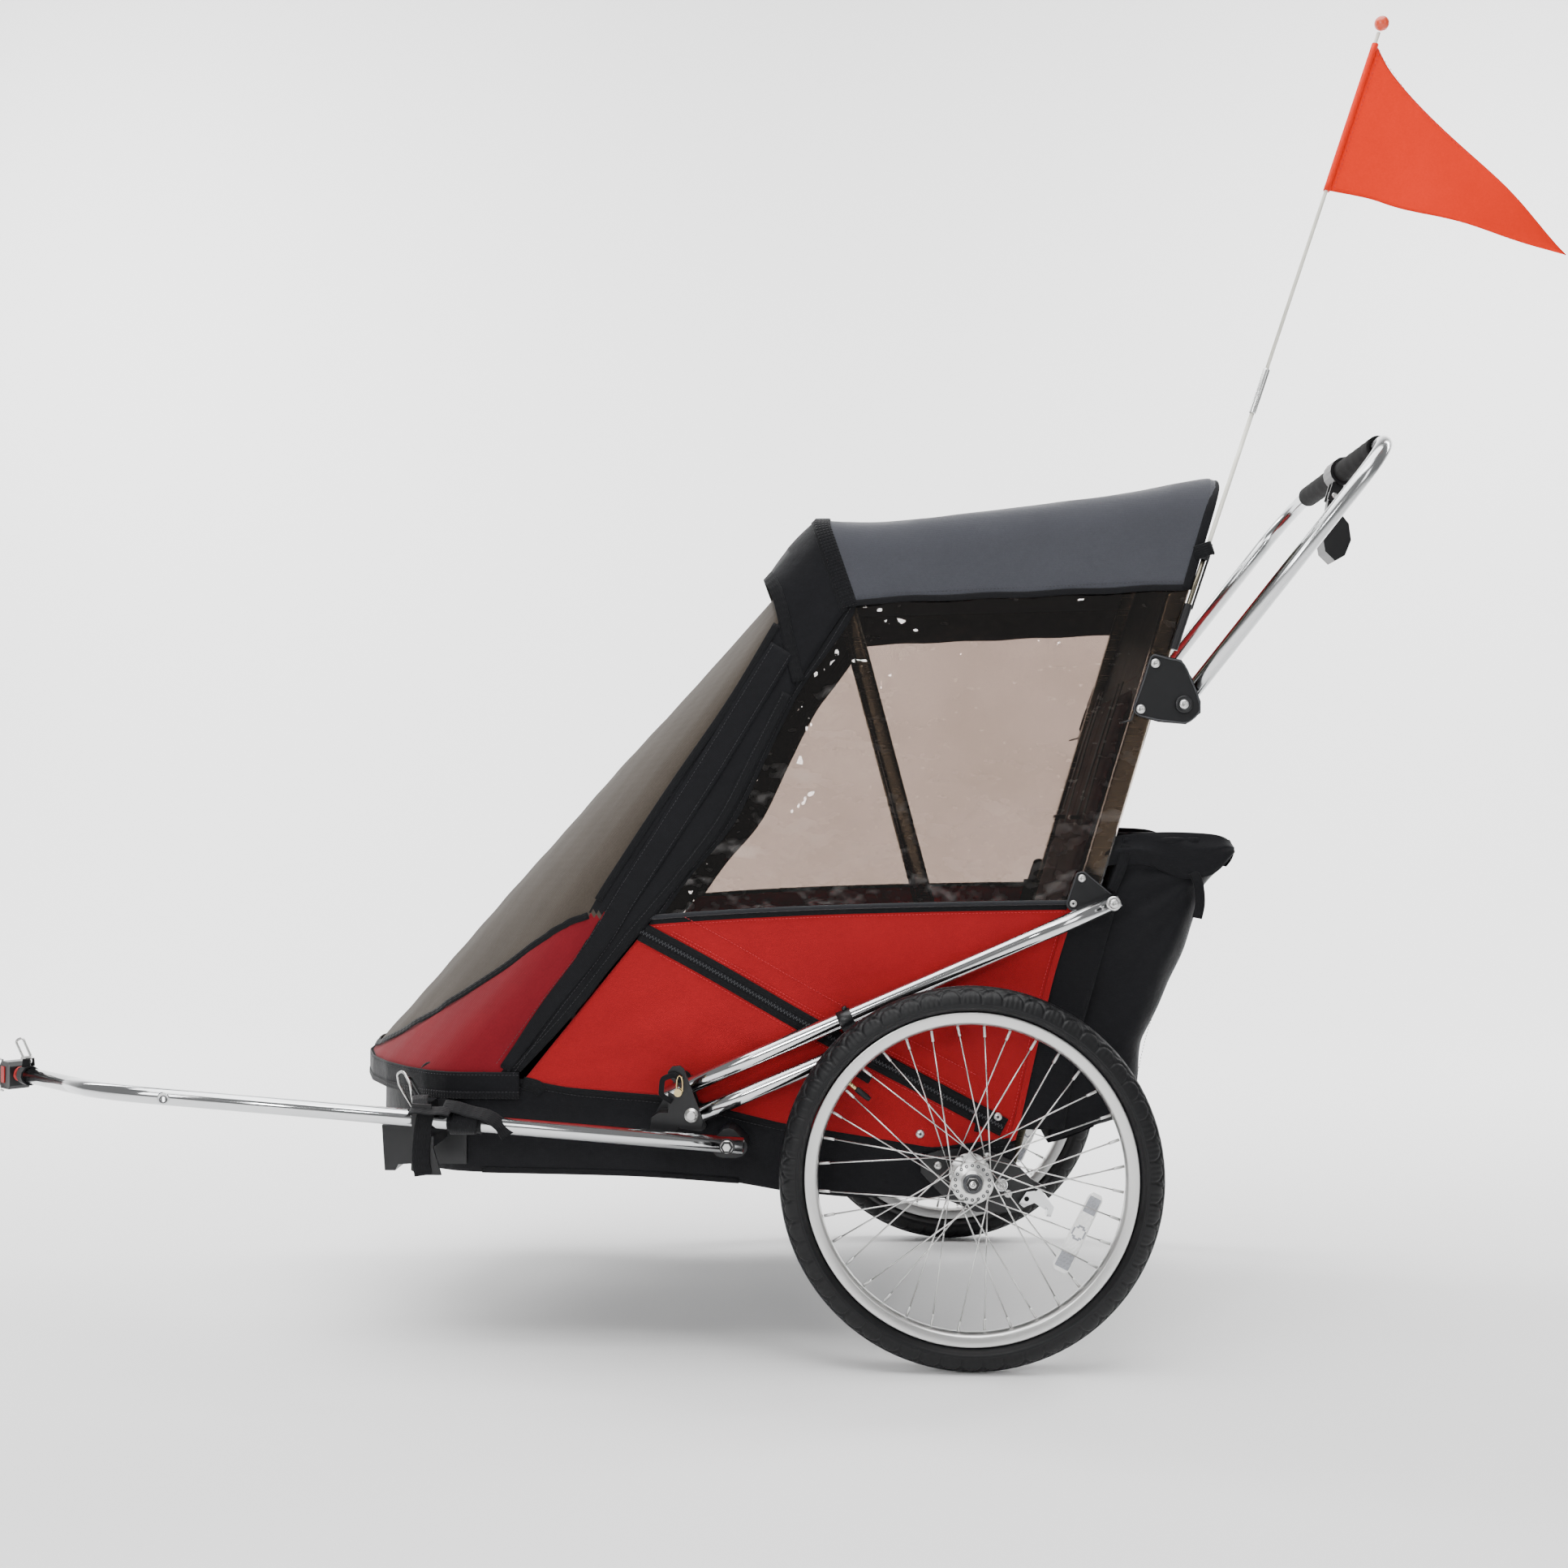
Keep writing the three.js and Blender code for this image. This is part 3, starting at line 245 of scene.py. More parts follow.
RED = (0.29, 0.0062, 0.0095)
MAT = {
    "red": fabric("red_woven", RED, pitch=0.0011, sheen=0.12, rough=0.75, crumple=0.0015),
    "dark_red": fabric("dark_red_woven", (0.045, 0.004, 0.006), pitch=0.0011, sheen=0.06),
    "red_net": net("red_net", (0.165, 0.0075, 0.013), alpha=0.93),
    "net": net("grey_brown_net", (0.060, 0.049, 0.039), alpha=0.90),
    "nylon": fabric("black_nylon", (0.0042, 0.0044, 0.0058), pitch=0.0009, sheen=0.05, rough=0.55, crumple=0.0024, vary=0.25),
    "webbing": fabric("black_webbing", (0.0038, 0.0040, 0.0050), pitch=0.0016, sheen=0.07, rough=0.62, crumple=0.0003, vary=0.2, ribs=True, weave=0.0005),
    "canopy": fabric("charcoal_canopy", (0.046, 0.048, 0.058), pitch=0.0010, sheen=0.35, rough=0.8, crumple=0.0010, vary=0.10),
    "piping": fabric("piping", (0.014, 0.015, 0.018), pitch=0.0008, sheen=0.3, rough=0.55, crumple=0.0002, uv=False),
    "thread_red": fabric("red_thread", (0.55, 0.02, 0.03), pitch=0.0004, uv=False, crumple=0.0001),
    "thread_black": fabric("black_thread", (0.03, 0.03, 0.034), pitch=0.0004, uv=False, crumple=0.0001),
    "vinyl": vinyl("smoky_vinyl"),
    "alu": metal("polished_aluminium", (0.66, 0.67, 0.68), 0.16, 0.02, bumpd=0.000006),
    "chrome": metal("polished_tube", (0.70, 0.71, 0.72), 0.10, 0.02, bumpd=0.000006),
    "hoop": metal("bronze_anodised", (0.155, 0.14, 0.105), 0.27, 0.015, bumpd=0.000001),
    "rim": metal("rim_alloy", (0.66, 0.66, 0.65), 0.30, 0.05, metallic=0.9),
    "spoke": metal("spoke_wire", (0.62, 0.62, 0.61), 0.25, 0.05),
    "brass": metal("brass_pin", (0.66, 0.52, 0.26), 0.24, 0.06),
    "black": plastic("moulded_black", (0.0065, 0.0067, 0.0078), 0.36, coat=0.04, spec=0.4),
    "edge_black": plastic("black_lip", (0.040, 0.042, 0.047), 0.30),
    "tyre": plastic("tyre_rubber", (0.0034, 0.0036, 0.0044), 0.46, grain=700, depth=0.0001, spec=0.28),
    "sidewall": plastic("tyre_sidewall", (0.020, 0.022, 0.027), 0.55, grain=500, depth=0.00008),
    "foam": plastic("grip_foam", (0.0055, 0.0055, 0.0060), 0.85, grain=1400, depth=0.0004, spec=0.2),
    "elastomer": plastic("red_elastomer", (0.45, 0.02, 0.02), 0.42),
    "pole": plastic("pole_fibre", (0.80, 0.79, 0.70), 0.35),
    "ferrule": metal("pole_ferrule", (0.80, 0.81, 0.80), 0.28),
    "ball": plastic("orange_ball", (0.80, 0.075, 0.025), 0.28, coat=0.3),
    "flag": fabric("orange_flag", (0.80, 0.021, 0.0004), pitch=0.0007, rough=0.5, sheen=0.02, crumple=0.0016, vary=0.06),
    "reflector": plastic("clear_reflector", (0.93, 0.93, 0.92), 0.10, coat=0.6, grain=300),
    "prism": plastic("reflector_prism", (0.30, 0.31, 0.34), 0.14, coat=0.6, grain=300),
    "velcro": fabric("hook_tape", (0.0050, 0.0052, 0.0064), pitch=0.0022, rough=0.9, sheen=0.16, crumple=0.0006, weave=0.0010),
    "plaid": fabric("lining", (0.05, 0.012, 0.014), pitch=0.002),
}


# ------------------------------------------------------------------ mesh helpers
def obj_from(name, verts, faces, mat, uvs=None, smooth=True, mats=None, face_mats=None):
    me = bpy.data.meshes.new(name)
    me.from_pydata([tuple(v) for v in verts], [], faces)
    me.validate()
    if uvs is not None:
        layer = me.uv_layers.new(name="UVMap")
        for l in me.loops:
            layer.data[l.index].uv = uvs[l.vertex_index]
    for m in ([mat] if mats is None else mats):
        me.materials.append(m)
    if face_mats is not None:
        for p, k in zip(me.polygons, face_mats):
            p.material_index = k
    for p in me.polygons:
        p.use_smooth = smooth
    me.update()
    o = bpy.data.objects.new(name, me)
    bpy.context.scene.collection.objects.link(o)
    return o


def mod(o, kind, **kw):
    m = o.modifiers.new(kind, kind)
    for k, v in kw.items():
        setattr(m, k, v)
    return m


def apply_mods(o):
    dg = bpy.context.evaluated_depsgraph_get()
    me = bpy.data.meshes.new_from_object(o.evaluated_get(dg), depsgraph=dg)
    old = o.data
    o.modifiers.clear()
    o.data = me
    bpy.data.meshes.remove(old)
    return o


def finish_piece(o, body=None, slot=None, replaces=(), blend=None, squash=None, sheet=None, padded=None):
    if replaces:
        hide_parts(*replaces)
    if blend:
        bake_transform(o)
    else:
        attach(o, body)
        if squash:
            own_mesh(o)
    return o


def cr(p0, p1, p2, p3, t):
    return 0.5 * ((2 * p1) + (-p0 + p2) * t + (2 * p0 - 5 * p1 + 4 * p2 - p3) * t * t + (-p0 + 3 * p1 - 3 * p2 + p3) * t ** 3)


def resample(points, n, smooth=True):
    """n points at equal steps along a smooth curve through the given ones."""
    p = np.array(points, float)
    if smooth and len(p) > 2:
        q = [p[0]]
        ext = np.vstack([2 * p[0] - p[1], p, 2 * p[-1] - p[-2]])
        for i in range(1, len(ext) - 2):
            for k in range(1, 13):
                q.append(cr(ext[i - 1], ext[i], ext[i + 1], ext[i + 2], k / 12))
        p = np.array(q)
    d = np.r_[0, np.cumsum(np.linalg.norm(np.diff(p, axis=0), axis=1))]
    t = np.linspace(0, d[-1], n)
    return np.stack([np.interp(t, d, p[:, k]) for k in range(p.shape[1])], 1)


def grid(name, rows, mat, thick=1.2, uv_scale=1.0, both=False, mats=None, face_mat=None, levels=0, offset=-1.0, jitter=None, mm=True, smooth=True):
    """A cloth sheet through a grid of points (rows of equal length), in mm."""
    g = np.array(rows, float)
    if jitter is not None:
        g = g + jitter
    nr, nc = g.shape[:2]
    w = np.array([[P(*p) for p in r] for r in g]) if mm else g
    du = np.zeros((nr, nc)); dv = np.zeros((nr, nc))
    du[:, 1:] = np.cumsum(np.linalg.norm(np.diff(w, axis=1), axis=2), axis=1)
    dv[1:, :] = np.cumsum(np.linalg.norm(np.diff(w, axis=0), axis=2), axis=0)
    uvs = [(du[i, j] * uv_scale, dv[i, j] * uv_scale) for i in range(nr) for j in range(nc)]
    faces, fm = [], []
    for i in range(nr - 1):
        for j in range(nc - 1):
            faces.append((i * nc + j, i * nc + j + 1, (i + 1) * nc + j + 1, (i + 1) * nc + j))
            fm.append(face_mat(i, j) if face_mat else 0)
    o = obj_from(name, w.reshape(-1, 3), faces, mat, uvs, smooth, mats, fm)
    if levels:
        mod(o, "SUBSURF", levels=levels, render_levels=levels)
    if thick:
        mod(o, "SOLIDIFY", thickness=thick / 1000, offset=offset, use_even_offset=False)
    return o


def frames_along(pts, closed=False):
    pts = np.array(pts, float)
    n = len(pts)
    tang = np.zeros_like(pts)
    for i in range(n):
        a = pts[(i - 1) % n] if closed or i > 0 else pts[i]
        b = pts[(i + 1) % n] if closed or i < n - 1 else pts[i]
        tang[i] = (b - a) / (np.linalg.norm(b - a) + 1e-12)
    ref = np.array([0, 0, 1.0]) if abs(tang[0][2]) < 0.9 else np.array([1.0, 0, 0])
    u = np.cross(tang[0], ref); u /= np.linalg.norm(u)
    us = [u]
    for i in range(1, n):
        v = us[-1] - tang[i] * np.dot(us[-1], tang[i])
        us.append(v / np.linalg.norm(v))
    us = np.array(us)
    return tang, us, np.cross(tang, us)


def sweep(name, pts, section, mat, closed=False, caps=True, mm=True, smooth=True, uvs_on=True, fixed_up=None, scale=None):
    """Sweeps a closed section (list of (a, b) in mm) along points in mm."""
    pts = np.array(pts, float)
    tang, us, vs = frames_along(pts, closed)
    if fixed_up is not None:
        up = np.array(fixed_up, float)
        us = np.cross(up, tang); us /= np.linalg.norm(us, axis=1)[:, None]
        vs = np.cross(tang, us)
    n, m = len(pts), len(section)
    verts, uvs = [], []
    ln = np.r_[0, np.cumsum(np.linalg.norm(np.diff(pts, axis=0), axis=1))] / 1000
    for i in range(n):
        s = 1.0 if scale is None else scale[i]
        for k, (a, b) in enumerate(section):
            p = pts[i] + us[i] * a * s + vs[i] * b * s
            verts.append(P(*p) if mm else tuple(p))
            uvs.append((k / m * 0.07, ln[i]))
    faces = []
    for i in range(n if closed else n - 1):
        for k in range(m):
            a, b = i * m + k, i * m + (k + 1) % m
            c, d = ((i + 1) % n) * m + (k + 1) % m, ((i + 1) % n) * m + k
            faces.append((a, b, c, d))
    if caps and not closed:
        faces.append(tuple(range(m))[::-1])
        faces.append(tuple((n - 1) * m + k for k in range(m)))
    o = obj_from(name, verts, faces, mat, uvs if uvs_on else None, smooth)
    if caps and not closed:
        for p in o.data.polygons[-2:]:
            p.use_smooth = False
    bm = bmesh.new(); bm.from_mesh(o.data); bmesh.ops.recalc_face_normals(bm, faces=bm.faces); bm.to_mesh(o.data); bm.free()
    return o


def circle(r, n=24, ph=0.0):
    return [(r * math.cos(ph + 2 * math.pi * k / n), r * math.sin(ph + 2 * math.pi * k / n)) for k in range(n)]


def hollow_tube(name, pts, r, mat, wall=1.6, n=28, open_ends=(True, True), mm=True):
    """A tube whose ends show their wall."""
    pts = np.array(pts, float)
    o = sweep(name, pts, circle(r, n), mat, caps=False)
    bm = bmesh.new(); bm.from_mesh(o.data); bm.verts.ensure_lookup_table()
    m = n
    last = (len(pts) - 1) * m
    tang, _, _ = frames_along(pts)
    allv = list(bm.verts)
    for which, base, t in ((0, 0, tang[0]), (1, last, -tang[-1])):
        ring = [allv[base + k] for k in range(m)]
        cen = sum((v.co for v in ring), Vector()) / m
        depth = 0.025 if open_ends[which] else 0.0
        inner = [bm.verts.new(cen + (v.co - cen) * ((r - wall) / r)) for v in ring]
        deep = [bm.verts.new(v.co + Vector(t) * max(depth, 0.0005)) for v in inner]
        for k in range(m):
            k2 = (k + 1) % m
            bm.faces.new((ring[k], ring[k2], inner[k2], inner[k]))
            bm.faces.new((inner[k], inner[k2], deep[k2], deep[k])).smooth = True
        bm.faces.new(deep)
    bmesh.ops.recalc_face_normals(bm, faces=bm.faces)
    bm.to_mesh(o.data); bm.free()
    return o


def rounded(points, radii, steps=8):
    pts = [np.array(p, float) for p in points]
    out = [pts[0]]
    for i in range(1, len(pts) - 1):
        a, b, c = pts[i - 1], pts[i], pts[i + 1]
        r = radii[i - 1] if isinstance(radii, (list, tuple)) else radii
        u = (a - b) / np.linalg.norm(a - b); w = (c - b) / np.linalg.norm(c - b)
        half = math.acos(max(-1, min(1, float(u @ w)))) / 2
        back = r / math.tan(half)
        cen = b + (u + w) / np.linalg.norm(u + w) * r / math.sin(half)
        p0, p1 = b + u * back - cen, b + w * back - cen
        turn = math.pi - 2 * half
        for k in range(steps + 1):
            f = k / steps
            out.append(p0 * math.sin((1 - f) * turn) / math.sin(turn) + p1 * math.sin(f * turn) / math.sin(turn) + cen)
    out.append(pts[-1])
    return np.array(out)


def lathe(name, profile, mat, centre, n=96, axis="Y", radial=None, mats=None, seg_mat=None, closed=True):
    """Revolves (radius, along) in mm about the axis through centre (mm)."""
    m = len(profile)
    verts, uvs = [], []
    for i in range(n):
        a = 2 * math.pi * i / n
        for k, (r, y) in enumerate(profile):
            rr = r if radial is None else radial(r, y, a)
            if axis == "Y":
                p = (centre[0] + rr * math.cos(a), centre[1] + y, centre[2] + rr * math.sin(a))
            elif axis == "X":
                p = (centre[0] + y, centre[1] + rr * math.cos(a), centre[2] + rr * math.sin(a))
            else:
                p = (centre[0] + rr * math.cos(a), centre[1] + rr * math.sin(a), centre[2] + y)
            verts.append(P(*p)); uvs.append((a * 0.2, k / m * 0.1))
    faces, fm = [], []
    for i in range(n):
        for k in range(m if closed else m - 1):
            a, b = i * m + k, i * m + (k + 1) % m
            c, d = ((i + 1) % n) * m + (k + 1) % m, ((i + 1) % n) * m + k
            faces.append((a, b, c, d)); fm.append(seg_mat(k) if seg_mat else 0)
    if not closed:
        faces.append(tuple(i * m for i in range(n))); fm.append(fm[0])
        faces.append(tuple(i * m + m - 1 for i in range(n))[::-1]); fm.append(fm[0])
    o = obj_from(name, verts, faces, mat, uvs, True, mats, fm)
    bm = bmesh.new(); bm.from_mesh(o.data); bmesh.ops.recalc_face_normals(bm, faces=bm.faces); bm.to_mesh(o.data); bm.free()
    return o


def joined(name, parts):
    """Several fresh objects become one piece."""
    parts = [p for p in parts if p is not None]
    for p in parts:
        if p.modifiers:
            apply_mods(p)
    bpy.ops.object.select_all(action="DESELECT")
    for p in parts:
        p.select_set(True)
    bpy.context.view_layer.objects.active = parts[0]
    if len(parts) > 1:
        bpy.ops.object.join()
    o = bpy.context.view_layer.objects.active
    o.name = name
    return o


def stitches(name, line, mat, step=4.2, run=2.9, r=0.42, out=(0, -0.35, 0), smooth=True):
    """Short thread lengths along a line of points (mm)."""
    p = np.array(line, float)
    L = np.linalg.norm(np.diff(resample(p, 200, smooth), axis=0), axis=1).sum()
    n = max(2, int(L / step))
    q = resample(p, n * 2 + 1, smooth)
    verts, faces = [], []
    o = np.array(out)
    for k in range(n):
        a, b = q[2 * k], q[2 * k + 1]
        t = (b - a); ln = np.linalg.norm(t)
        if ln < 1e-6:
            continue
        t = t / ln
        b = a + t * run
        s = np.cross(t, o / (np.linalg.norm(o) + 1e-9)); s /= (np.linalg.norm(s) + 1e-9)
        c = np.cross(s, t)
        base = len(verts)
        for f, rr in ((0.0, 0.35), (0.2, 1.0), (0.8, 1.0), (1.0, 0.35)):
            cen = a + (b - a) * f + o * (1.0 if 0.1 < f < 0.9 else 0.1)
            for j in range(5):
                an = 2 * math.pi * j / 5
                verts.append(P(*(cen + (s * math.cos(an) + c * math.sin(an)) * r * rr)))
        for i in range(3):
            for j in range(5):
                faces.append((base + i * 5 + j, base + i * 5 + (j + 1) % 5, base + (i + 1) * 5 + (j + 1) % 5, base + (i + 1) * 5 + j))
        faces.append(tuple(base + j for j in range(5))[::-1]); faces.append(tuple(base + 15 + j for j in range(5)))
    return obj_from(name, verts, faces, mat)


def band(name, line, width, thick, mat, normal=(0, -1, 0), n=60, smooth=True, edge=0.5, widths=None, wave_amp=0.0, wave_n=3):
    """A flat strap or binding along a line, its width in the surface and its thickness along normal."""
    pts = resample(line, n, smooth)
    nrm = np.array(normal, float)
    if nrm.ndim == 1:
        nrm = np.tile(nrm, (n, 1))
    else:
        nrm = resample(nrm, n, False)
    nrm /= np.linalg.norm(nrm, axis=1)[:, None]
    tang, _, _ = frames_along(pts)
    side = np.cross(tang, nrm); side /= np.linalg.norm(side, axis=1)[:, None]
    nn = np.cross(side, tang)
    w = np.full(n, width, float) if widths is None else np.interp(np.linspace(0, 1, n), np.linspace(0, 1, len(widths)), widths)
    prof = [(-0.5, 0), (-0.5, 0.55), (-0.44, 0.95), (-0.2, 1.0), (0, 1.02), (0.2, 1.0), (0.44, 0.95), (0.5, 0.55), (0.5, 0)]
    verts, uvs, faces = [], [], []
    m = len(prof)
    ln = np.r_[0, np.cumsum(np.linalg.norm(np.diff(pts, axis=0), axis=1))] / 1000
    for i in range(n):
        lift = wave_amp * math.sin(wave_n * math.pi * i / (n - 1)) if wave_amp else 0
        for a, b in prof:
            p = pts[i] + side[i] * a * w[i] + nn[i] * (b * thick + lift)
            verts.append(P(*p)); uvs.append((a * w[i] / 1000, ln[i]))
    for i in range(n - 1):
        for k in range(m):
            k2 = (k + 1) % m
            faces.append((i * m + k, i * m + k2, (i + 1) * m + k2, (i + 1) * m + k))
    faces.append(tuple(range(m))[::-1]); faces.append(tuple((n - 1) * m + k for k in range(m)))
    o = obj_from(name, verts, faces, mat, uvs)
    bm = bmesh.new(); bm.from_mesh(o.data); bmesh.ops.recalc_face_normals(bm, faces=bm.faces); bm.to_mesh(o.data); bm.free()
    return o


def mirrored(o, name):
    c = o.copy(); c.data = o.data.copy(); c.name = name
    bpy.context.scene.collection.objects.link(c)
    bm = bmesh.new(); bm.from_mesh(c.data)
    for v in bm.verts:
        v.co.y = -v.co.y
    bmesh.ops.reverse_faces(bm, faces=bm.faces)
    bm.to_mesh(c.data); bm.free()
    return c


def both(build, name, **kw):
    """Builds a near-side piece and its mirror image, with names and bodies that end in left and right."""
    o = build()
    r = mirrored(o, name.replace("*", "right"))
    o.name = name.replace("*", "left")
    for ob, s in ((o, "left"), (r, "right")):
        k = {}
        for key, v in kw.items():
            if isinstance(v, str):
                k[key] = v.replace("*", s)
            elif key == "replaces":
                k[key] = [x.replace("*", s) for x in v]
            else:
                k[key] = v
        finish_piece(ob, **k)
    return o, r


def inside_outline(outline, p):
    x, z = p
    c = False
    n = len(outline)
    for i in range(n):
        x1, z1 = outline[i]; x2, z2 = outline[(i + 1) % n]
        if (z1 > z) != (z2 > z) and x < (x2 - x1) * (z - z1) / (z2 - z1) + x1:
            c = not c
    return c


def wrinkle(x, z, seed=0.0, f=1.0):
    return (math.sin(x * 0.021 * f + seed) * math.cos(z * 0.017 * f - seed * 1.7) + 0.6 * math.sin(x * 0.047 * f - z * 0.031 * f + seed * 2.1)
            + 0.35 * math.sin(x * 0.09 * f + z * 0.07 * f + seed * 0.7))


# ------------------------------------------------------------------ dimensions from the axle
WY, WR = 375.0, 245.0
PIV = np.array([42.0, 226.0])
REAR_TOP = np.array([314.5, 1130.5]); FRONT_TOP = np.array([-184.0, 1086.0])
FOLD_F, FOLD_B = "front_hoop", "back_frame"

# ------------------------------------------------------------------ wheels
def build_wheel(s, sg):
    c = (0, sg * WY, WR)
    body = "wheel_" + s
    # tyre: profile from bead to bead with a rounded crown, its tread cut in scalloped arcs
    prof = []
    for k in range(97):
        a = math.radians(-118 + 236 * k / 96)
        prof.append((222.2 + 22.4 * math.cos(a) * (1.0 if math.cos(a) > 0 else 0.42), 22.0 * math.sin(a)))
    prof = [(212.9, -12.2)] + prof + [(212.9, 12.2)]
    arc = 2 * math.pi / 54

    def tread(r, y, a):
        if r < 224.5:
            # fine rings on the side wall
            return -0.5 * math.exp(-((r - 219.0) / 0.8) ** 2) + 0.5 * math.exp(-((r - 221.6) / 0.6) ** 2)
        t = abs(y) / 22.0
        ph = (a / arc + (0.5 if y > 0 else 0.0)) % 1.0
        scallop = abs(math.sin(math.pi * ph))
        edge = 0.95 - 0.44 * scallop ** 0.75          # where the scalloped groove runs across the shoulder
        wide = 0.050 + 0.05 * (1 - scallop) ** 3
        g = math.exp(-((t - edge) / wide) ** 2)
        ph2 = (ph * 2 + 0.25) % 1.0
        g2 = math.exp(-((t - (0.40 + 0.17 * abs(math.sin(math.pi * ph2)))) / 0.045) ** 2)
        centre = math.exp(-((t - 0.0) / 0.07) ** 2)
        mid = math.exp(-((t - 0.27) / 0.045) ** 2) * (1 if (a / (arc / 2)) % 1.0 > 0.25 else 0.2)
        tick = (1 if ((a / (arc / 4)) % 1.0) < 0.16 and t > 0.55 else 0) * 0.5
        return 2.0 * g + 1.0 * g2 + 0.8 * centre + 0.8 * mid + tick

    tyre = lathe("tyre_skin_" + s, prof, MAT["tyre"], c, n=864)
    m_ = len(prof)
    for v in tyre.data.vertices:
        i, k = divmod(v.index, m_)
        r, y = prof[k]
        if not 0 < k < m_ - 1:
            continue
        d = tread(r, y, 2 * math.pi * i / 864)
        nr, ny = r - 222.2, y
        ln_ = math.hypot(nr, ny) + 1e-9
        a_ = 2 * math.pi * i / 864
        v.co -= Vector((nr / ln_ * math.cos(a_), ny / ln_, nr / ln_ * math.sin(a_))) * (d / 1000)
    finish_piece(tyre, body, "tyre_rubber", ["tyre_" + s])
    # rim: box section with a machined brake track and a rounded inner face
    rp = [(211.7, -12.0), (211.9, -12.4), (209.5, -12.4), (199.5, -11.2), (198.3, -10.6), (196.0, -7.6), (195.0, -4.5), (194.6, 0),
          (195.0, 4.5), (196.0, 7.6), (198.3, 10.6), (199.5, 11.2), (209.5, 12.4), (211.9, 12.4), (211.7, 12.0), (211.0, 9.6), (206, 9.0), (202, 6), (201, 0), (202, -6), (206, -9.0), (211.0, -9.6)]
    rim = lathe("rim_ring_" + s, rp, MAT["rim"], c, n=180)
    mod(rim, "BEVEL", width=0.0004, segments=1, limit_method="ANGLE")
    finish_piece(rim, body, "rim_alloy", ["rim_" + s])
    # spokes and nipples
    parts = []
    for i in range(36):
        side = 1 if i % 2 else -1
        pull = (i // 2) % 2
        a = math.radians(i * 10 + 5)
        b = a + math.radians(62) * (1 if pull else -1)
        y0 = side * (31.2 if pull else 26.4)
        y1 = side * (3.4 if pull else 0.8)
        p0 = np.array([25.0 * math.cos(b), y0, 25.0 * math.sin(b)]); p1 = np.array([193.8 * math.cos(a), y1, 193.8 * math.sin(a)])
        d = (p1 - p0)
        cen = np.array(c)
        q = [cen + p0, cen + p0 + d * 0.5, cen + p0 + d * 0.94]
        parts.append(sweep("spoke", q, circle(1.0, 10), MAT["spoke"]))
        parts.append(sweep("nipple", [cen + p0 + d * 0.925, cen + p0 + d * 0.94, cen + p1], circle(1.9, 8), MAT["rim"]))
        # bent head in the flange
        hx = cen + p0
        parts.append(sweep("head", [hx + np.array([0, side * (1.8 if pull else -1.8), 0]), hx, hx + np.array([0, side * (-1.6 if pull else 1.6), 0])], circle(1.25, 8), MAT["spoke"]))
    sp = joined("spoke_set_" + s, parts)
    finish_piece(sp, body, "spoke_steel", ["spokes_" + s])
    # hub: shell, two drilled flanges, dust caps
    hp = [(6.6, -35.9), (10.5, -35.9), (13.2, -34.8), (13.8, -31.4), (15.5, -30.4), (26.2, -29.8), (27.0, -29.0), (27.0, -27.6), (26.2, -26.9), (17.5, -25.8), (14.2, -21), (13.1, -12), (12.8, 0),
          (13.1, 12), (14.2, 21), (17.5, 25.8), (26.2, 26.9), (27.0, 27.6), (27.0, 29.0), (26.2, 29.8), (15.5, 30.4), (13.8, 31.4), (13.2, 34.8), (10.5, 35.9), (6.6, 35.9)]
    hub = lathe("hub_shell_" + s, hp, MAT["rim"], c, n=72)
    hparts = [hub]
    for fl in (-1, 1):
        for k in range(18):
            a = 2 * math.pi * (k + 0.5) / 18
            x, z = 21.5 * math.cos(a), 21.5 * math.sin(a)
            hparts.append(lathe("eyelet", [(0.9, -0.35), (2.2, -0.35), (2.2, 0.1), (0.9, 0.1)], MAT["edge_black"], (x, c[1] + fl * 29.95, WR + z), n=10))
    cap = lathe("dust_cap", [(r_, sg * y_) for r_, y_ in ((6.7, -0.4), (12.2, -0.4), (12.6, 0.4), (12.2, 1.6), (9.4, 2.4), (6.7, 2.4))], MAT["edge_black"], (0, sg * (WY + 35.8), WR), n=48)
    hparts.append(cap)
    hub = joined("hub_assembly_" + s, hparts)
    finish_piece(hub, body, "rim_alloy", ["hub_" + s])
    # clear reflector with its prism pattern
    u = np.array([0.4465, 0, 0.895]); r_ = np.array([0.895, 0, -0.4465]); cc = np.array([135.5, sg * WY, WR - 67.5])
    rows = []
    nu, nr_ = 45, 11
    for i in range(nu):
        t = -1 + 2 * i / (nu - 1)
        half = (12.0 - 2.6 * (t * 0.5 + 0.5)) * (1 - max(0, abs(t) - 0.9) * 4)
        row = []
        for j in range(nr_):
            w = -1 + 2 * j / (nr_ - 1)
            p = cc + u * 54.5 * t + r_ * half * w
            prism = 0.45 * (((i * 0.5 + j) % 2) + ((i * 0.5 - j) % 2)) * (1 if abs(w) < 0.85 and abs(t) < 0.93 else 0)
            d = 1.7 * (1 - abs(w) ** 6) * (1 - abs(t) ** 14) + prism * 0.8
            if math.hypot(54.5 * t, half * w) < 8.5:
                d = 2.3
            row.append(p + np.array([0, -d, 0]))
        rows.append(row)
    def part_of(i, j):
        t = -1 + 2 * (i + 0.5) / (nu - 1); w = -1 + 2 * (j + 0.5) / (nr_ - 1)
        ring_ = 7.0 < math.hypot(54.5 * t, 11 * w) < 9.6
        return 1 if (0.52 < abs(t) < 0.93 and abs(w) < 0.8) or ring_ else 0
    f = grid("refl_a", rows, None, thick=0, mats=[MAT["reflector"], MAT["prism"]], face_mat=part_of)
    rows2 = [[np.array([p[0], 2 * sg * WY - p[1], p[2]]) for p in row] for row in rows]
    g = grid("refl_b", [r[::-1] for r in rows2], None, thick=0, mats=[MAT["reflector"], MAT["prism"]], face_mat=part_of)
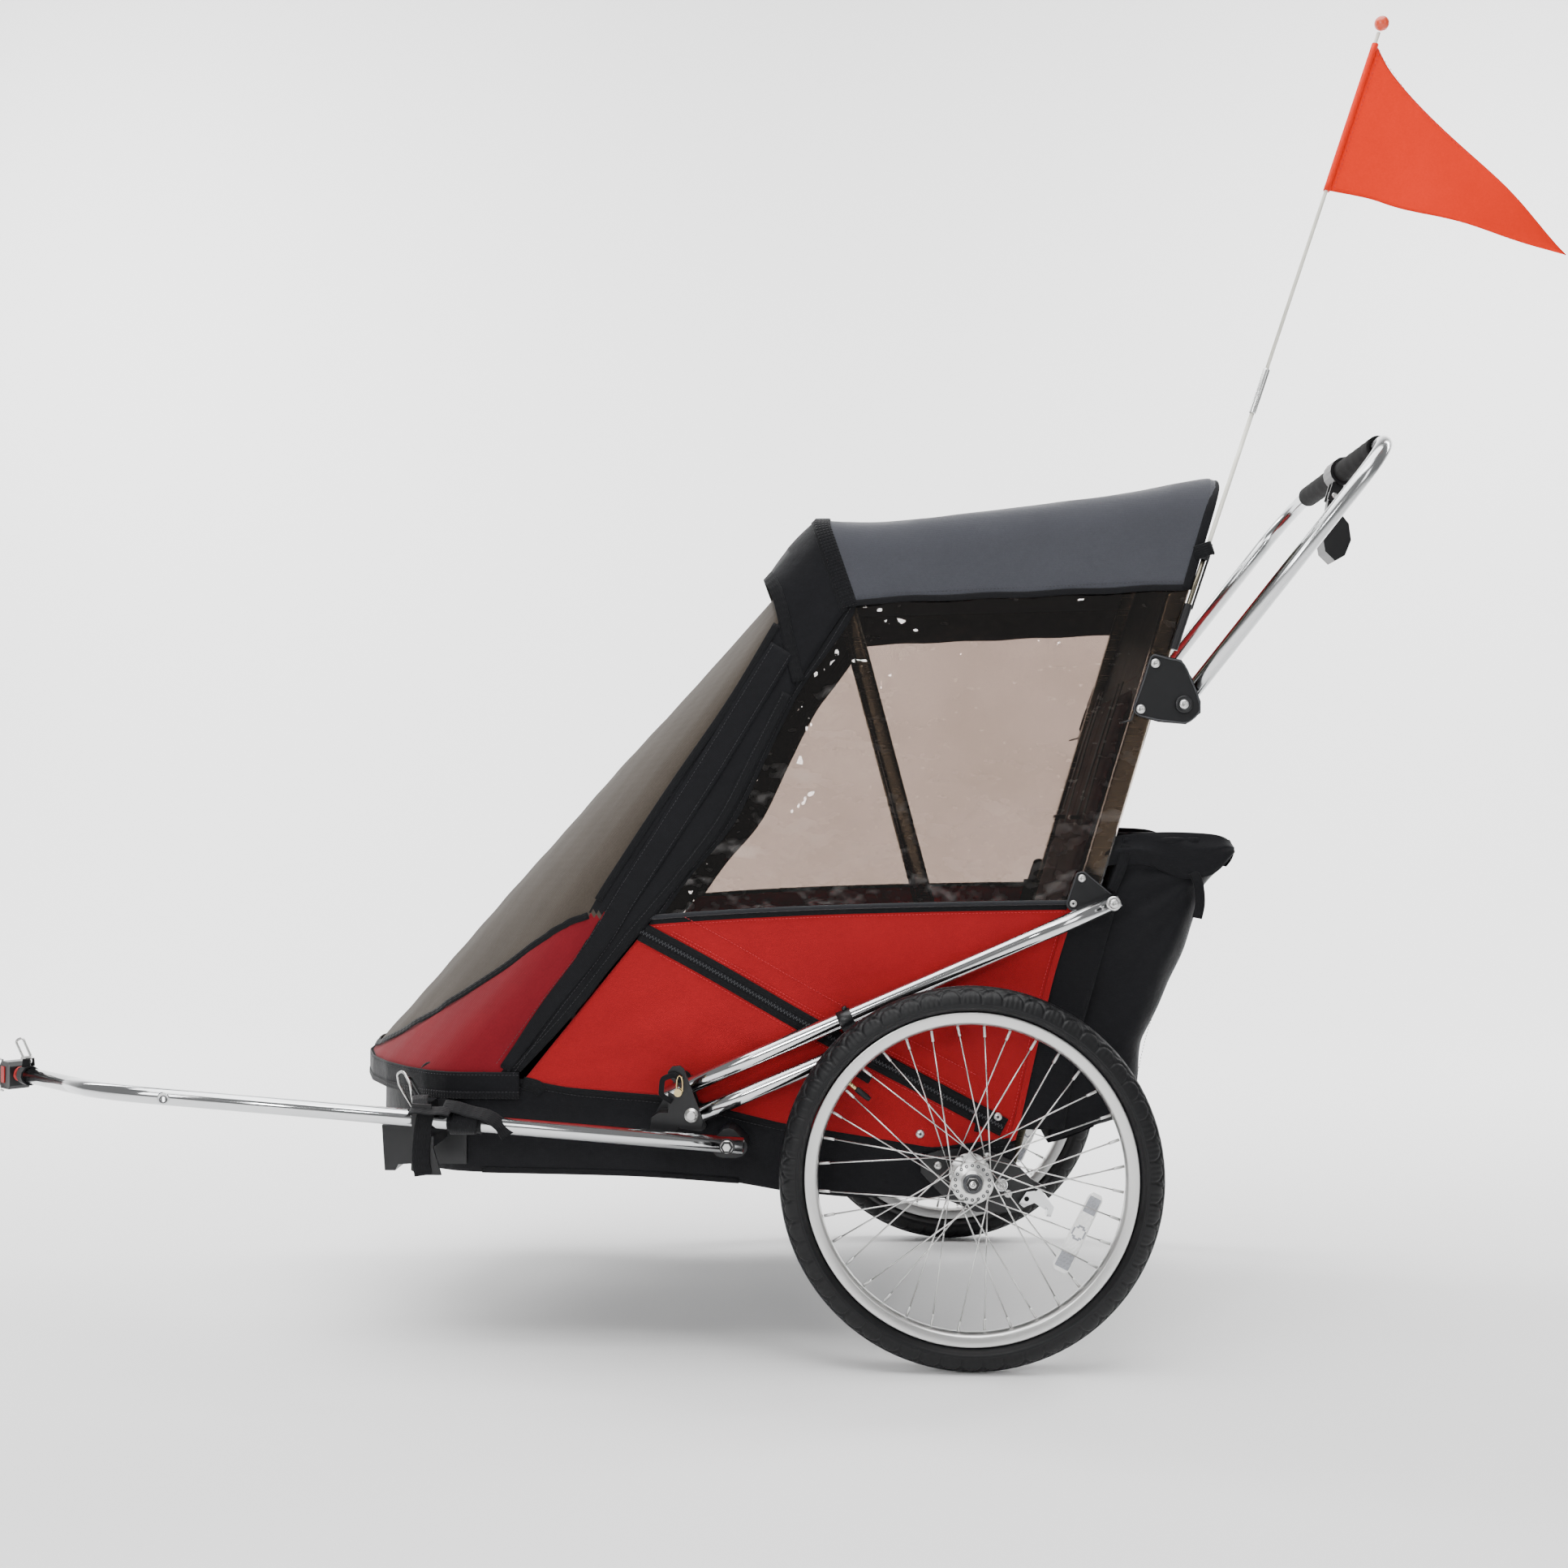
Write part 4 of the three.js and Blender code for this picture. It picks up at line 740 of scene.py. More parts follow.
    screw = lathe("refl_screw", [(0, 0), (3.2, 0), (3.0, 1.0), (0, 1.4)], MAT["spoke"], (cc[0], sg * WY - 2.2, cc[2]), n=16, closed=False)
    screw2 = lathe("refl_screw", [(0, 0), (3.2, 0), (3.0, -1.0), (0, -1.4)], MAT["spoke"], (cc[0], sg * WY + 2.2, cc[2]), n=16, closed=False)
    ring = [cc + r_ * 9.9 + np.array([0, 0, 0])]
    rf = joined("spoke_reflector_" + s, [f, g, screw, screw2])
    bm = bmesh.new(); bm.from_mesh(rf.data); bmesh.ops.remove_doubles(bm, verts=bm.verts, dist=0.00002); bmesh.ops.recalc_face_normals(bm, faces=bm.faces); bm.to_mesh(rf.data); bm.free()
    for p in rf.data.polygons:
        p.use_smooth = False
    finish_piece(rf, body, "clear_plastic", ["wheel_reflector_" + s])
    # valve with its cap
    va = math.radians(142.4)
    e = np.array([math.cos(va), 0, math.sin(va)]); cen = np.array(c)
    v = joined("valve_" + s, [sweep("stem", [cen + e * 195.5, cen + e * 189, cen + e * 181], circle(2.6, 14), MAT["brass"]),
                              sweep("cap", [cen + e * 184, cen + e * 183, cen + e * 170, cen + e * 163, cen + e * 162], circle(3.9, 14), MAT["tyre"], scale=[0.85, 1, 1, 0.85, 0.5])])
    finish_piece(v, body, "tyre_rubber")


for s, sg in (("left", -1), ("right", 1)):
    build_wheel(s, sg)


# ------------------------------------------------------------------ tubes
def line(a, b, n=2):
    a, b = np.array(a, float), np.array(b, float)
    return np.array([a + (b - a) * k / (n - 1) for k in range(n)])


def hoop_pts(top, y, s0, r, steps=10):
    d = (top - PIV) / np.linalg.norm(top - PIV); L = np.linalg.norm(top - PIV)
    def q(s, yy):
        return (PIV[0] + d[0] * s, yy, PIV[1] + d[1] * s)
    return rounded([q(s0, -y), q(L, -y), q(L, y), q(s0, y)], r, steps)


fh = sweep("front_hoop_tube", hoop_pts(FRONT_TOP, 272, -9, 52), circle(10.9, 28), MAT["hoop"])
finish_piece(fh, "front_hoop", "tube_alloy", ["front_hoop"])
sec = []
for (cx_, cz_), a0 in (((8, 9.5), 0), ((-8, 9.5), 90), ((-8, -9.5), 180), ((8, -9.5), 270)):
    for k in range(6):
        a = math.radians(a0 + 90 * k / 5)
        sec.append((cx_ + 2.9 * math.cos(a), cz_ + 2.9 * math.sin(a)))
rh = sweep("rear_hoop_bar", hoop_pts(REAR_TOP, 295.5, -8.5, 50), sec, MAT["hoop"], fixed_up=None)
finish_piece(rh, "back_frame", "tube_alloy", ["rear_hoop"])

SR, SF = np.array([185.0, 592.5]), np.array([-394.0, 340.0])
dS = (SF - SR) / np.linalg.norm(SF - SR)


def upper_strut():
    a = SR - dS * 9
    t = hollow_tube("t", line((SF[0], -330, SF[1]), (a[0], -330, a[1]), 6), 11.0, MAT["chrome"])
    # a clip round the bar and a small pin bump beside it
    c0, c1 = np.array([-168, 435.8]), np.array([-150, 443.7])
    clip = lathe_dir("clip", [(11.2, -9.5), (13.4, -9.5), (14.2, -8.6), (14.2, 8.6), (13.4, 9.5), (11.2, 9.5)], MAT["black"], (-159, -330, 439.8), (dS[0], 0, dS[1]), n=36)
    bumpp = lathe_dir("pinbump", [(0, -3), (3.4, -3), (3.4, 2.2), (2.4, 3.0), (0, 3.2)], MAT["black"], (-161.5, -333, 455.0), (-dS[1] * -1, 0, dS[0] * -1), n=20, closed=False)
    return joined("u", [t, clip, bumpp])


def lathe_dir(name, profile, mat, centre, direction, n=32, closed=True, mats=None, seg_mat=None):
    d = Vector(direction).normalized()
    q = Vector((0, 1, 0)).rotation_difference(d).to_matrix()
    o = lathe(name, profile, mat, (-SX * 1000, 0, 0), n=n, closed=closed, mats=mats, seg_mat=seg_mat)
    c = Vector(P(*centre))
    for v in o.data.vertices:
        v.co = q @ v.co + c
    return o


both(upper_strut, "upper_strut_bar_*", body="strut_*", slot="tube_alloy", replaces=["upper_strut_*"])


def lower_strut():
    return hollow_tube("l", line((-364, -330, 310.8), (0, -330, 465.5), 6), 11.0, MAT["chrome"])


both(lower_strut, "lower_strut_bar_*", body="root", slot="tube_alloy", replaces=["lower_strut_*"])

# push handle, with its grip
HP, HB = np.array([279.0, 850.0]), np.array([560.0, 1205.0])
dH = (HB - HP) / np.linalg.norm(HB - HP); LH = np.linalg.norm(HB - HP)
def hq(s, y):
    return (HP[0] + dH[0] * s, y, HP[1] + dH[1] * s)
hb = sweep("push_handle", rounded([hq(-13.5, -300), hq(LH, -300), hq(LH, 300), hq(-13.5, 300)], 85, 14), circle(11.0, 28), MAT["alu"])
finish_piece(hb, "handle", "tube_alloy", ["handlebar"])
gp = [(11.7, -204), (14.6, -204.4), (15.6, -202)]
for k in range(40):
    y = -196 + 392 * k / 39
    gp.append((15.5 + 0.28 * math.sin(k * 1.9), y))
gp += [(15.6, 202), (14.6, 204.4), (11.7, 204)]
grip = lathe("foam_grip", gp, MAT["foam"], (HB[0], 0, HB[1]), n=40)
finish_piece(grip, "handle", "foam_grip", ["grip_sleeve"])

# tow bar
TP = np.array([-310.0, 285.0]); slope = (346.0 - 285.0) / (-1106.0 + 310.0)
def zb(x):
    return TP[1] + slope * (x - TP[0])
tow_pts = rounded([(-290, -WY, zb(-290)), (-1126, -WY, zb(-1126)), (-1346, -121, 333)], 150, 12)
tb = hollow_tube("tow_arm", tow_pts, 11.0, MAT["chrome"], open_ends=(True, False))
tbb = [tb]
# crimped dimple on the outside of the arm before the bend
tbb.append(lathe_dir("dimple", [(0, 0), (7.5, 0), (8.0, 0.4), (6.8, 0.7), (5.6, 0.2), (0, 0.15)], MAT["chrome"], (-1040, -WY - 10.85, zb(-1040)), (0, -1, 0), n=28, closed=False))
tb = joined("tow_arm", tbb)
finish_piece(tb, "tow_bar", "tow_steel", ["tow_bar"])

# ------------------------------------------------------------------ flag
FL = np.array([289.4, 992.0]); FH = np.array([535.8, 1732.7]); dF = (FH - FL) / np.linalg.norm(FH - FL)
def fp(z, d=0.0, y=-318.5):
    x = FL[0] + (z - FL[1]) * dF[0] / dF[1]
    return np.array([x + d * dF[1], y, z - d * dF[0]])
pole = joined("flag_pole_rod", [sweep("p1", [fp(927), fp(1100), fp(1232)], circle(2.9, 16), MAT["pole"]), sweep("p2", [fp(1284), fp(1500), fp(1722)], circle(2.4, 16), MAT["pole"]),
                                lathe_dir("fer", [(0, -31), (4.2, -31), (4.5, -30), (4.5, 28), (4.1, 29.5), (0, 30)], MAT["ferrule"], fp(1257.5), (dF[0], 0, dF[1]), n=24, closed=False)])
pole = joined("flag_pole_rod", [pole, sweep("sleeve", [fp(926), fp(990), fp(1047)], circle(3.2, 16), MAT["hoop"])])
finish_piece(pole, "flag_pole", "pole_fibre", ["flag_pole"])
bp = [(0, -9.2), (2.6, -9.2)] + [(9.4 * math.cos(math.radians(a)), 9.4 * math.sin(math.radians(a))) for a in range(-70, 90, 10)] + [(0, 9.4)]
ball = lathe_dir("flag_tip", [(r, y) for r, y in bp], MAT["ball"], fp(1734), (dF[0], 0, dF[1]), n=32, closed=False)
finish_piece(ball, "flag_pole", "flag_orange", ["flag_ball"])
top_edge = [fp(1706, 3), np.array([550, -318.5, 1668]), np.array([598, -318.5, 1612]), np.array([690, -318.5, 1520]), np.array([772, -318.5, 1431])]
low_edge = [fp(1518, 3), np.array([518, -318.5, 1506]), np.array([560, -318.5, 1492]), np.array([640, -318.5, 1471]), np.array([770, -318.5, 1430])]
T_, L_ = resample(top_edge, 60), resample(low_edge, 60)
rows = []
for i in range(60):
    t = i / 59
    row = []
    for j in range(28):
        w = j / 27
        p = T_[i] * (1 - w) + L_[i] * w
        amp = 5.5 * t ** 0.9
        row.append(p + np.array([0, amp * math.sin(7.5 * t + 1.2 * w) + 1.6 * math.sin(15 * t - 3.0 * w) * t, 0.6 * math.sin(13 * t) * t]))
    rows.append(row)
flag = grid("flag_cloth", rows, MAT["flag"], thick=0.5, offset=0)
sleeve_line = [fp(1707, 0.5), fp(1612, 0.5), fp(1517, 0.5)]
sleeve = sweep("flag_sleeve", resample(sleeve_line, 20), [(4.4 * math.cos(a) * 1.25, 4.4 * math.sin(a)) for a in np.linspace(0, 2 * math.pi, 17)[:-1]], MAT["flag"])
st = joined("flag_seam", [stitches("a", [fp(z, 8.5, -319.6) for z in (1702, 1612, 1520)], MAT["thread_red"], step=6, run=3.4, r=0.35),
                          stitches("b", [p + np.array([0, -0.9, -4.5]) for p in (T_[1], T_[15], T_[30], T_[45])], MAT["thread_red"], step=6, run=3.4, r=0.3)])
finish_piece(st, "flag_pole", "flag_fabric")
finish_piece(sleeve, "flag_pole", "flag_fabric")
finish_piece(flag, "flag_pole", "flag_fabric", ["flag"], sheet=dict(flat=(0.32, 0.19), held="hung", rests_on=["flag_pole_rod"], area=0.0305, with_pieces=[sleeve, st]))

# ------------------------------------------------------------------ tub skin
ARC_X, ARC_R, SKIN = -445.0, 391.0, 311.0
def tub_plan(d=0.0, x_rear=60.0, n_side=60, n_arc=44):
    pts = [(x, -(SKIN - d)) for x in np.linspace(x_rear, -645, n_side)]
    pts += [(-655 + 0.1 * d, -(SKIN - d)), (-668 + 0.2 * d, -(310 - 0.95 * d)), (-680 + 0.5 * d, -(306 - 0.9 * d)), (-692 + 0.6 * d, -(298.5 - 0.8 * d))]
    a0 = math.asin((290 - 0.75 * d) / (ARC_R - d))
    pts += [(ARC_X - (ARC_R - d) * math.cos(a), (ARC_R - d) * math.sin(a)) for a in np.linspace(-a0, 0, n_arc // 2)]
    m = [(x, -y) for x, y in pts[:-1][::-1]]
    return np.array(pts + m)
BT = np.array([(-860, 357), (-587, 356), (-527, 345), (-387, 334), (-248, 301), (-46, 270), (60, 284)], float)
FLN = np.array([(-860, 238), (-700, 236), (-440, 232), (-312, 226), (-240, 213), (-160, 206.5), (60, 206.5)], float)
def zt(x): return float(np.interp(x, BT[:, 0], BT[:, 1]))
def zf(x): return float(np.interp(x, FLN[:, 0], FLN[:, 1]))
plan = tub_plan()
nrm2 = []
for i in range(len(plan)):
    a, b = plan[max(i - 1, 0)], plan[min(i + 1, len(plan) - 1)]
    t = (b - a) / np.linalg.norm(b - a)
    nrm2.append((t[1], -t[0]))
nrm2 = np.array(nrm2)
if np.mean(nrm2[:20, 1]) > 0:
    nrm2 = -nrm2
rows = []
for k in range(15):
    t = k / 14
    row = []
    for i, (x, y) in enumerate(plan):
        top, bot = zt(x) - 0.4, zf(x) + 0.6
        z = top + (bot - top) * t
        out = -1.0 - 1.0 * math.exp(-((t - 1) / 0.08) ** 2) * 1.2 + 0.7 * math.sin(math.pi * t) + 0.5 * wrinkle(x + y * 0.8, z, 1.3, 1.4) * math.sin(math.pi * min(1, t * 1.3)) * 0.8
        row.append((x + nrm2[i][0] * out, y + nrm2[i][1] * out, z))
    rows.append(row)
tub = grid("tub_skin", rows, MAT["nylon"], thick=1.4, offset=0)
rows = []
for x in np.linspace(58, -834, 70):
    if x > -655:
        w = 309.0
    elif x > -692:
        w = np.interp(x, [-692, -680, -655], [297, 304, 309])
    else:
        w = math.sqrt(max(0, (ARC_R - 2) ** 2 - (x - ARC_X) ** 2))
        w = min(w, 296)
    row = []
    for j in range(25):
        q = -1 + 2 * j / 24
        row.append((x, q * max(w, 6), zf(x) + 0.4 - 0.9 * (1 - abs(q) ** 4) * 0.6 + 0.25 * wrinkle(x, q * 300, 2.2)))
    rows.append(row)
floor_skin = grid("tub_floor", rows, MAT["nylon"], thick=1.2, offset=0)
tub = joined("tub_skin", [tub, floor_skin])
seams = []
top_line = [(x + nrm2[i][0] * 0.1, y + nrm2[i][1] * 0.1, zt(x) - 7.5) for i, (x, y) in enumerate(plan)]
seams.append(stitches("s", [p for p in top_line if p[0] > -650 and p[1] < 0][::4], MAT["thread_black"], step=5, run=3.2, out=(0, -0.5, 0)))
seams.append(stitches("s", [(p[0], -p[1], p[2]) for p in top_line if p[0] > -650 and p[1] < 0][::4], MAT["thread_black"], step=5, run=3.2, out=(0, 0.5, 0)))
# binding along the top of the black band, and the small webbing tab on it
for sg in (-1, 1):
    ln = [(x, sg * 311.2, zt(x) - 2.2) for x in np.linspace(56, -640, 40)]
    seams.append(band("b", ln, 9, 0.9, MAT["webbing"], normal=(0, sg, 0), n=90))
    seams.append(band("tab", [(-586, sg * 311.6, 353), (-567, sg * 311.6, 348), (-560, sg * 311.6, 340)], 17, 1.3, MAT["webbing"], normal=(0, sg, 0), n=12))
    seams.append(band("corner", [(-300, sg * 310.6, zf(-300) + 2.5), (-440, sg * 310.6, zf(-440) + 2.5), (-640, sg * 310.6, zf(-640) + 2.5)], 7, 0.9, MAT["webbing"], normal=(0, sg, 0), n=50))
seam = joined("tub_seams", seams)
finish_piece(tub, "root", "black_nylon", ["tub_pan"], sheet=dict(flat=(2.05, 1.15), held="stretched", rests_on=["base_frame"], area=0.80, with_pieces=[seam]))
finish_piece(seam, "root", "black_nylon")

# ------------------------------------------------------------------ side panels
bot_c = [(-584, 357.5), (-527, 346.6), (-460, 341), (-387, 335.6), (-315, 319), (-248, 302.5), (-150, 287), (-46, 271.8), (0, 276), (54, 284.8)]
top_c = [(-412.5, 570), (-330, 576), (-205, 582.5), (-60, 586.5), (60, 588.6), (133, 589)]
def panel_pt(u, t, B_, T_2):
    b, c = B_[int(round(u * (len(B_) - 1)))], T_2[int(round(u * (len(B_) - 1)))]
    return b * (1 - t) + c * t
NB = 90
Bp, Tp = resample(bot_c, NB), resample(top_c, NB)
right_c = resample([(54, 284.8), (61, 300), (103, 481), (126, 560), (133, 589)], 60)

def red_panel():
    rows = []
    for k in range(60):
        t = k / 59
        rx, rz = right_c[k]
        lx, lz = Bp[0] * (1 - t) + Tp[0] * t
        row = []
        for i in range(NB):
            u = i / (NB - 1)
            x, z = Bp[i] * (1 - t) + Tp[i] * t
            # pull the row's rear end on to the curved rear edge
            ex, ez = Bp[-1] * (1 - t) + Tp[-1] * t
            x += (rx - ex) * u ** 3; z += (rz - ez) * u ** 3
            edge = min(1.0, 6 * min(u, 1 - u, t, 1 - t))
            # the zip line runs from the front corner down to the rear: cloth dips beside it
            d = (z - np.interp(x, [-430, -205, 49], [552, 429, 298])) / 9.0
            y = 311.0 + 2.1 * edge + edge * 0.9 * wrinkle(x, z, 0.4) - 0.9 * math.exp(-(abs(d) - 1.6) ** 2)
            # pull folds that fan from the front lower corner
            fan = math.sin(math.atan2(z - 350, x + 640) * 26) * math.exp(-((x + 560) / 190) ** 2) * 1.3 * edge
            y += fan
            # a shallow flat where the strut plate comes to rest when the frame is folded
            r_, a_ = math.hypot(x - 42, z - 226), math.degrees(math.atan2(z - 226, x - 42))
            w = min(1, max(0, (r_ - 340) / 20)) * min(1, max(0, (446 - r_) / 20)) * min(1, max(0, (a_ - 149) / 3.5)) * min(1, max(0, (170 - a_) / 3.5))
            w = w * w * (3 - 2 * w)
            y = y * (1 - w) + min(y, 310.7) * w
            row.append((x, -y, z))
        rows.append(row)
    return grid("red", rows, MAT["red"], thick=1.2, offset=0)

def panel_trim():
    parts = []
    zip_l = resample([(-429, -312.6, 553), (-330, -313.8, 500), (-205, -314.2, 429), (-80, -314.0, 365), (46, -312.8, 299)], 60)
    parts.append(band("tape", zip_l, 25, 1.0, MAT["webbing"], n=100))
    parts.append(band("chain", zip_l + np.array([0, -0.9, 0]), 6.4, 1.0, MAT["nylon"], n=60))
    # teeth
    q = resample(zip_l + np.array([0, -1.5, 0]), 230)
    vs, fs = [], []
    for k in range(len(q) - 1):
        t = q[k + 1] - q[k]; t /= np.linalg.norm(t)
        s = np.array([-t[2], 0, t[0]])
        off = 0.9 if k % 2 else -0.9
        cpt = q[k] + s * off
        b = len(vs)
        for dx, dy, dz in ((-1, 0, -1), (1, 0, -1), (1, 0, 1), (-1, 0, 1), (-0.7, -1, -0.7), (0.7, -1, -0.7), (0.7, -1, 0.7), (-0.7, -1, 0.7)):
            v = cpt + t * dx * 0.75 + s * dz * 2.0 + np.array([0, dy * 0.9 - 0.1, 0])
            vs.append(P(*v))
        for f in ((0, 1, 2, 3), (4, 7, 6, 5), (0, 4, 5, 1), (1, 5, 6, 2), (2, 6, 7, 3), (3, 7, 4, 0)):
            fs.append(tuple(b + i for i in f))
    parts.append(obj_from("teeth", vs, fs, MAT["edge_black"], smooth=False))
    off = np.array([0, 0, 0])
    for d in (15.5, 19.5, 44, -15.5):
        n_ = np.array([0.475, 0, 0.88]) * d
        parts.append(stitches("st", [p + n_ + np.array([0, -0.5, 0]) for p in zip_l[4:-3:8]], MAT["thread_red"], step=4.6, run=3.0, r=0.4))
    # zip slider and pull near the rear end
    sl = zip_l[-6]
    parts.append(sweep("slider", [sl + np.array([-5, -2.4, 2.6]), sl + np.array([0, -3.4, 0]), sl + np.array([6, -2.4, -3])], [(-3.4, -1.2), (3.4, -1.2), (3.4, 1.2), (-3.4, 1.2)], MAT["edge_black"]))
    parts.append(band("pull", [sl + np.array([4, -3.6, -2]), sl + np.array([6, -4.2, -14]), sl + np.array([4, -3.8, -26])], 6, 1.0, MAT["webbing"], n=12))
    # piping and its binding along the top
    pl = [(-418, -312.4, 571.5), (-330, -313.0, 578), (-205, -313.2, 584.5), (-60, -313.2, 589), (60, -313.0, 591.5), (134, -312.6, 592.5)]
    parts.append(sweep("pipe", resample(pl, 60), circle(3.1, 12), MAT["piping"]))
    parts.append(band("bind", [(x, y + 0.9, z - 5.6) for x, y, z in pl], 8, 0.8, MAT["webbing"], n=60))
    parts.append(stitches("st2", [(x, y - 0.1, z - 12.5) for x, y, z in pl], MAT["thread_red"], step=4.6, run=3.0, r=0.38))
    # rear edge binding
    parts.append(band("rear", [(x + 0.5, -312.0, z) for x, z in right_c], 8, 0.9, MAT["red"], n=50))
    parts.append(stitches("st3", [(x - 7.5, -313.0, z) for x, z in right_c[::8]], MAT["thread_red"], step=4.6, run=3.0, r=0.38))
    # rivets that hold the lower edge
    for x, z in ((38, 313), (-63, 290)):
        parts.append(lathe("rivet", [(0, -4.4), (2.2, -4.2), (4.6, -3.3), (5.8, -1.9), (5.9, -0.8), (0, -0.6)], MAT["rim"], (x, -311.6, z), n=24, closed=False))
        parts.append(lathe("rivet2", [(0, -5.0), (1.6, -5.0), (2.1, -4.1), (0, -4.1)], MAT["edge_black"], (x, -311.6, z), n=12, closed=False))
    # small webbing keeper low on the panel
    parts.append(band("keep", [(-148, -314.2, 372), (-138, -315.2, 366), (-128, -314.4, 360)], 11, 1.6, MAT["webbing"], n=12))
    return joined("trim", parts)

trL, trR = both(panel_trim, "panel_trim_*", body="root", slot="black_nylon")
both(red_panel, "side_cloth_*", body="root", slot="red_fabric", replaces=["side_panel_*"])

# ------------------------------------------------------------------ windows
left_c = resample([(-410, 571), (-368, 630), (-311, 698.5), (-266, 790), (-224, 873), (-186, 925), (-158, 966), (-146, 1000), (-138, 1030)], 140)
wr_c = resample([(168, 599), (196, 690), (238, 830), (284, 985), (300, 1040)], 140)

def window():
    rows = []
    for k in range(140):
        t = k / 139
        (lx, lz), (rx, rz) = left_c[k], wr_c[k]
        row = []
        for i in range(180):
            u = i / 179
            x, z = lx + (rx - lx) * u, lz + (rz - lz) * u
            if k < 24:
                f = 1 - k / 24
                z = z * (1 - f) + f * (np.interp(x, [-410, -330, -205, -60, 60, 160], [571, 575, 582, 587, 589.5, 597]) + k * 3.15)
            edge = min(u, 1 - u, t, 1 - t)
            rim_ = math.exp(-(min(edge, (1 - t) * 0.7) / 0.10) ** 2)
            front_ = math.exp(-((u - 0.17) / 0.15) ** 2) * math.exp(-((t - 0.42) / 0.36) ** 2)
            X = x + 14 * math.sin(z * 0.031 + 0.7) + 9 * math.sin(z * 0.072 + x * 0.02)
            Z = z + 12 * math.sin(x * 0.027 + 1.3) + 8 * math.sin(x * 0.066 - z * 0.018)
            n1 = math.sin(X * 0.062 + Z * 0.035) * math.cos(Z * 0.058 - X * 0.021 + 1.1)
            n2 = math.sin(X * 0.125 - Z * 0.05 + 2 * n1) * math.cos(Z * 0.118 + X * 0.04 + 1.7 * n1)
            y = 309.7 + (0.16 + 0.85 * front_ + 0.45 * rim_) * n1 + (0.015 + 0.20 * front_ + 0.42 * rim_) * n2
            row.append((x, -y, z))
        rows.append(row)
    return grid("win", rows, MAT["vinyl"], thick=0.4, offset=0)

SQW = dict(joint="fold", axis=(0, 0, 1), anchor=P(0, 0, 587), keep=0.02)
def win_trim():
    parts = []
    lc = [(x - 2, -311.4, z) for x, z in left_c]
    parts.append(band("l", lc, 15, 1.2, MAT["webbing"], n=80))
    for d in (-6.5, 3.5):
        parts.append(stitches("s", [(x - 2 + d * 0.85, y - 1.2, z - d * 0.5) for x, y, z in lc[::18]], MAT["thread_black"], step=5, run=3.2, r=0.32))
    # two small clips on the rear edge
    for x, z in ((164, 614), (206, 833)):
        parts.append(sweep("clip", rounded([(x - 9, -312.6, z - 7), (x + 6, -312.6, z - 3), (x + 11, -312.6, z + 9)], 4, 4), [(-3, -1.1), (3, -1.1), (3, 1.1), (-3, 1.1)], MAT["black"]))
    return joined("wtrim", parts)
wtL, wtR = both(win_trim, "window_trim_*", body="root", slot="black_nylon", squash=SQW)
both(window, "window_film_*", body="root", slot="vinyl", replaces=["window_*"], squash=SQW)

# ------------------------------------------------------------------ front cover
PL = np.array([[0, 0], [0.25, 0.043], [0.48, 0.166], [0.68, 0.35], [0.83, 0.545], [0.932, 0.715], [0.962, 0.795], [0.988, 0.885], [1, 1]])
side_l = [(-664, 333), (-664, 350), (-662, 368), (-607, 430), (-545, 496), (-506, 560), (-468, 623.5), (-390, 740), (-312, 853.6), (-247, 961)]
front_l = [(-857, 333), (-858.5, 350), (-857, 368), (-803, 433), (-742, 505), (-685, 568), (-627, 632), (-508, 762), (-388, 890), (-264, 1020)]
strap_l = [(-601, 333), (-600, 345), (-598, 357.5), (-555, 408), (-508, 455), (-470, 503), (-430, 551), (-371, 625), (-312, 700), (-226, 873)]
NR = 96
def path3(l):
    p = np.array(l, float)
    d = np.r_[0, np.cumsum(np.linalg.norm(np.diff(p, axis=0), axis=1))]
    return p, d / d[-1]
def at(l, t, ref=None):
    # every edge list has the same count, so one share addresses all of them
    p = np.array(l, float); s = t * (len(p) - 1); i = min(int(s), len(p) - 2); f = s - i
    a = p[max(i - 1, 0)]; b = p[i]; c = p[i + 1]; d = p[min(i + 2, len(p) - 1)]
    return cr(a, b, c, d, f) if i > 1 else b + (c - b) * f
XL = np.array([(333, -618), (357, -618), (496, -530), (560, -484), (574, -473), (578, -500), (623.5, -468), (740, -390), (853.6, -312), (961, -246), (1000, -235)], float)
def cover_row(t, nq=26, ns=9):
    F, S, K = at(front_l, t), at(side_l, t), at(strap_l, t)
    y0 = 315.3 if t < 0.16 else 314.3
    half = []
    for k in range(nq + 1):
        q = math.sin(k / nq * math.pi / 2)
        g = float(np.interp(q, PL[:, 0], PL[:, 1]))
        g = g + 0.0
        half.append((F[0] + (S[0] - F[0]) * g, q * y0, F[1] + (S[1] - F[1]) * g))
    for k in range(1, ns + 1):
        f = k / ns
        half.append((S[0] + (K[0] - S[0]) * f, y0, S[1] + (K[1] - S[1]) * f))
    return half
rows, kinds = [], []
def region(x, y, z):
    q = min(1.0, abs(y) / 314.0)
    xl = float(np.interp(z, XL[:, 0], XL[:, 1]))
    if q > 0.985 and x > xl:
        return 2
    zb_ = 374 + 200 * q ** 3.3
    if z < 366:
        return 2
    return 1 if z < zb_ else 0
tt = np.linspace(0, 1, NR)
for t in tt:
    h = cover_row(t)
    full = [(x, -y, z) for x, y, z in h[1:][::-1]] + h
    out = []
    for x, y, z in full:
        w = 1.0 - min(1, abs(y) / 330)
        dip = 1.3 * wrinkle(x + y * 0.4, z, 0.9, 0.9) * min(1, t * 6) * min(1, (1 - t) * 6) * (0.35 + 0.65 * w)
        belly = -7.0 * math.sin(math.pi * max(0, (t - 0.15) / 0.85)) * w          # the net hangs in a little between hoop and hem
        out.append((x - (dip + belly) * 0.66, y, z + (dip + belly) * 0.75))
    rows.append(out)
R_ = np.array(rows)
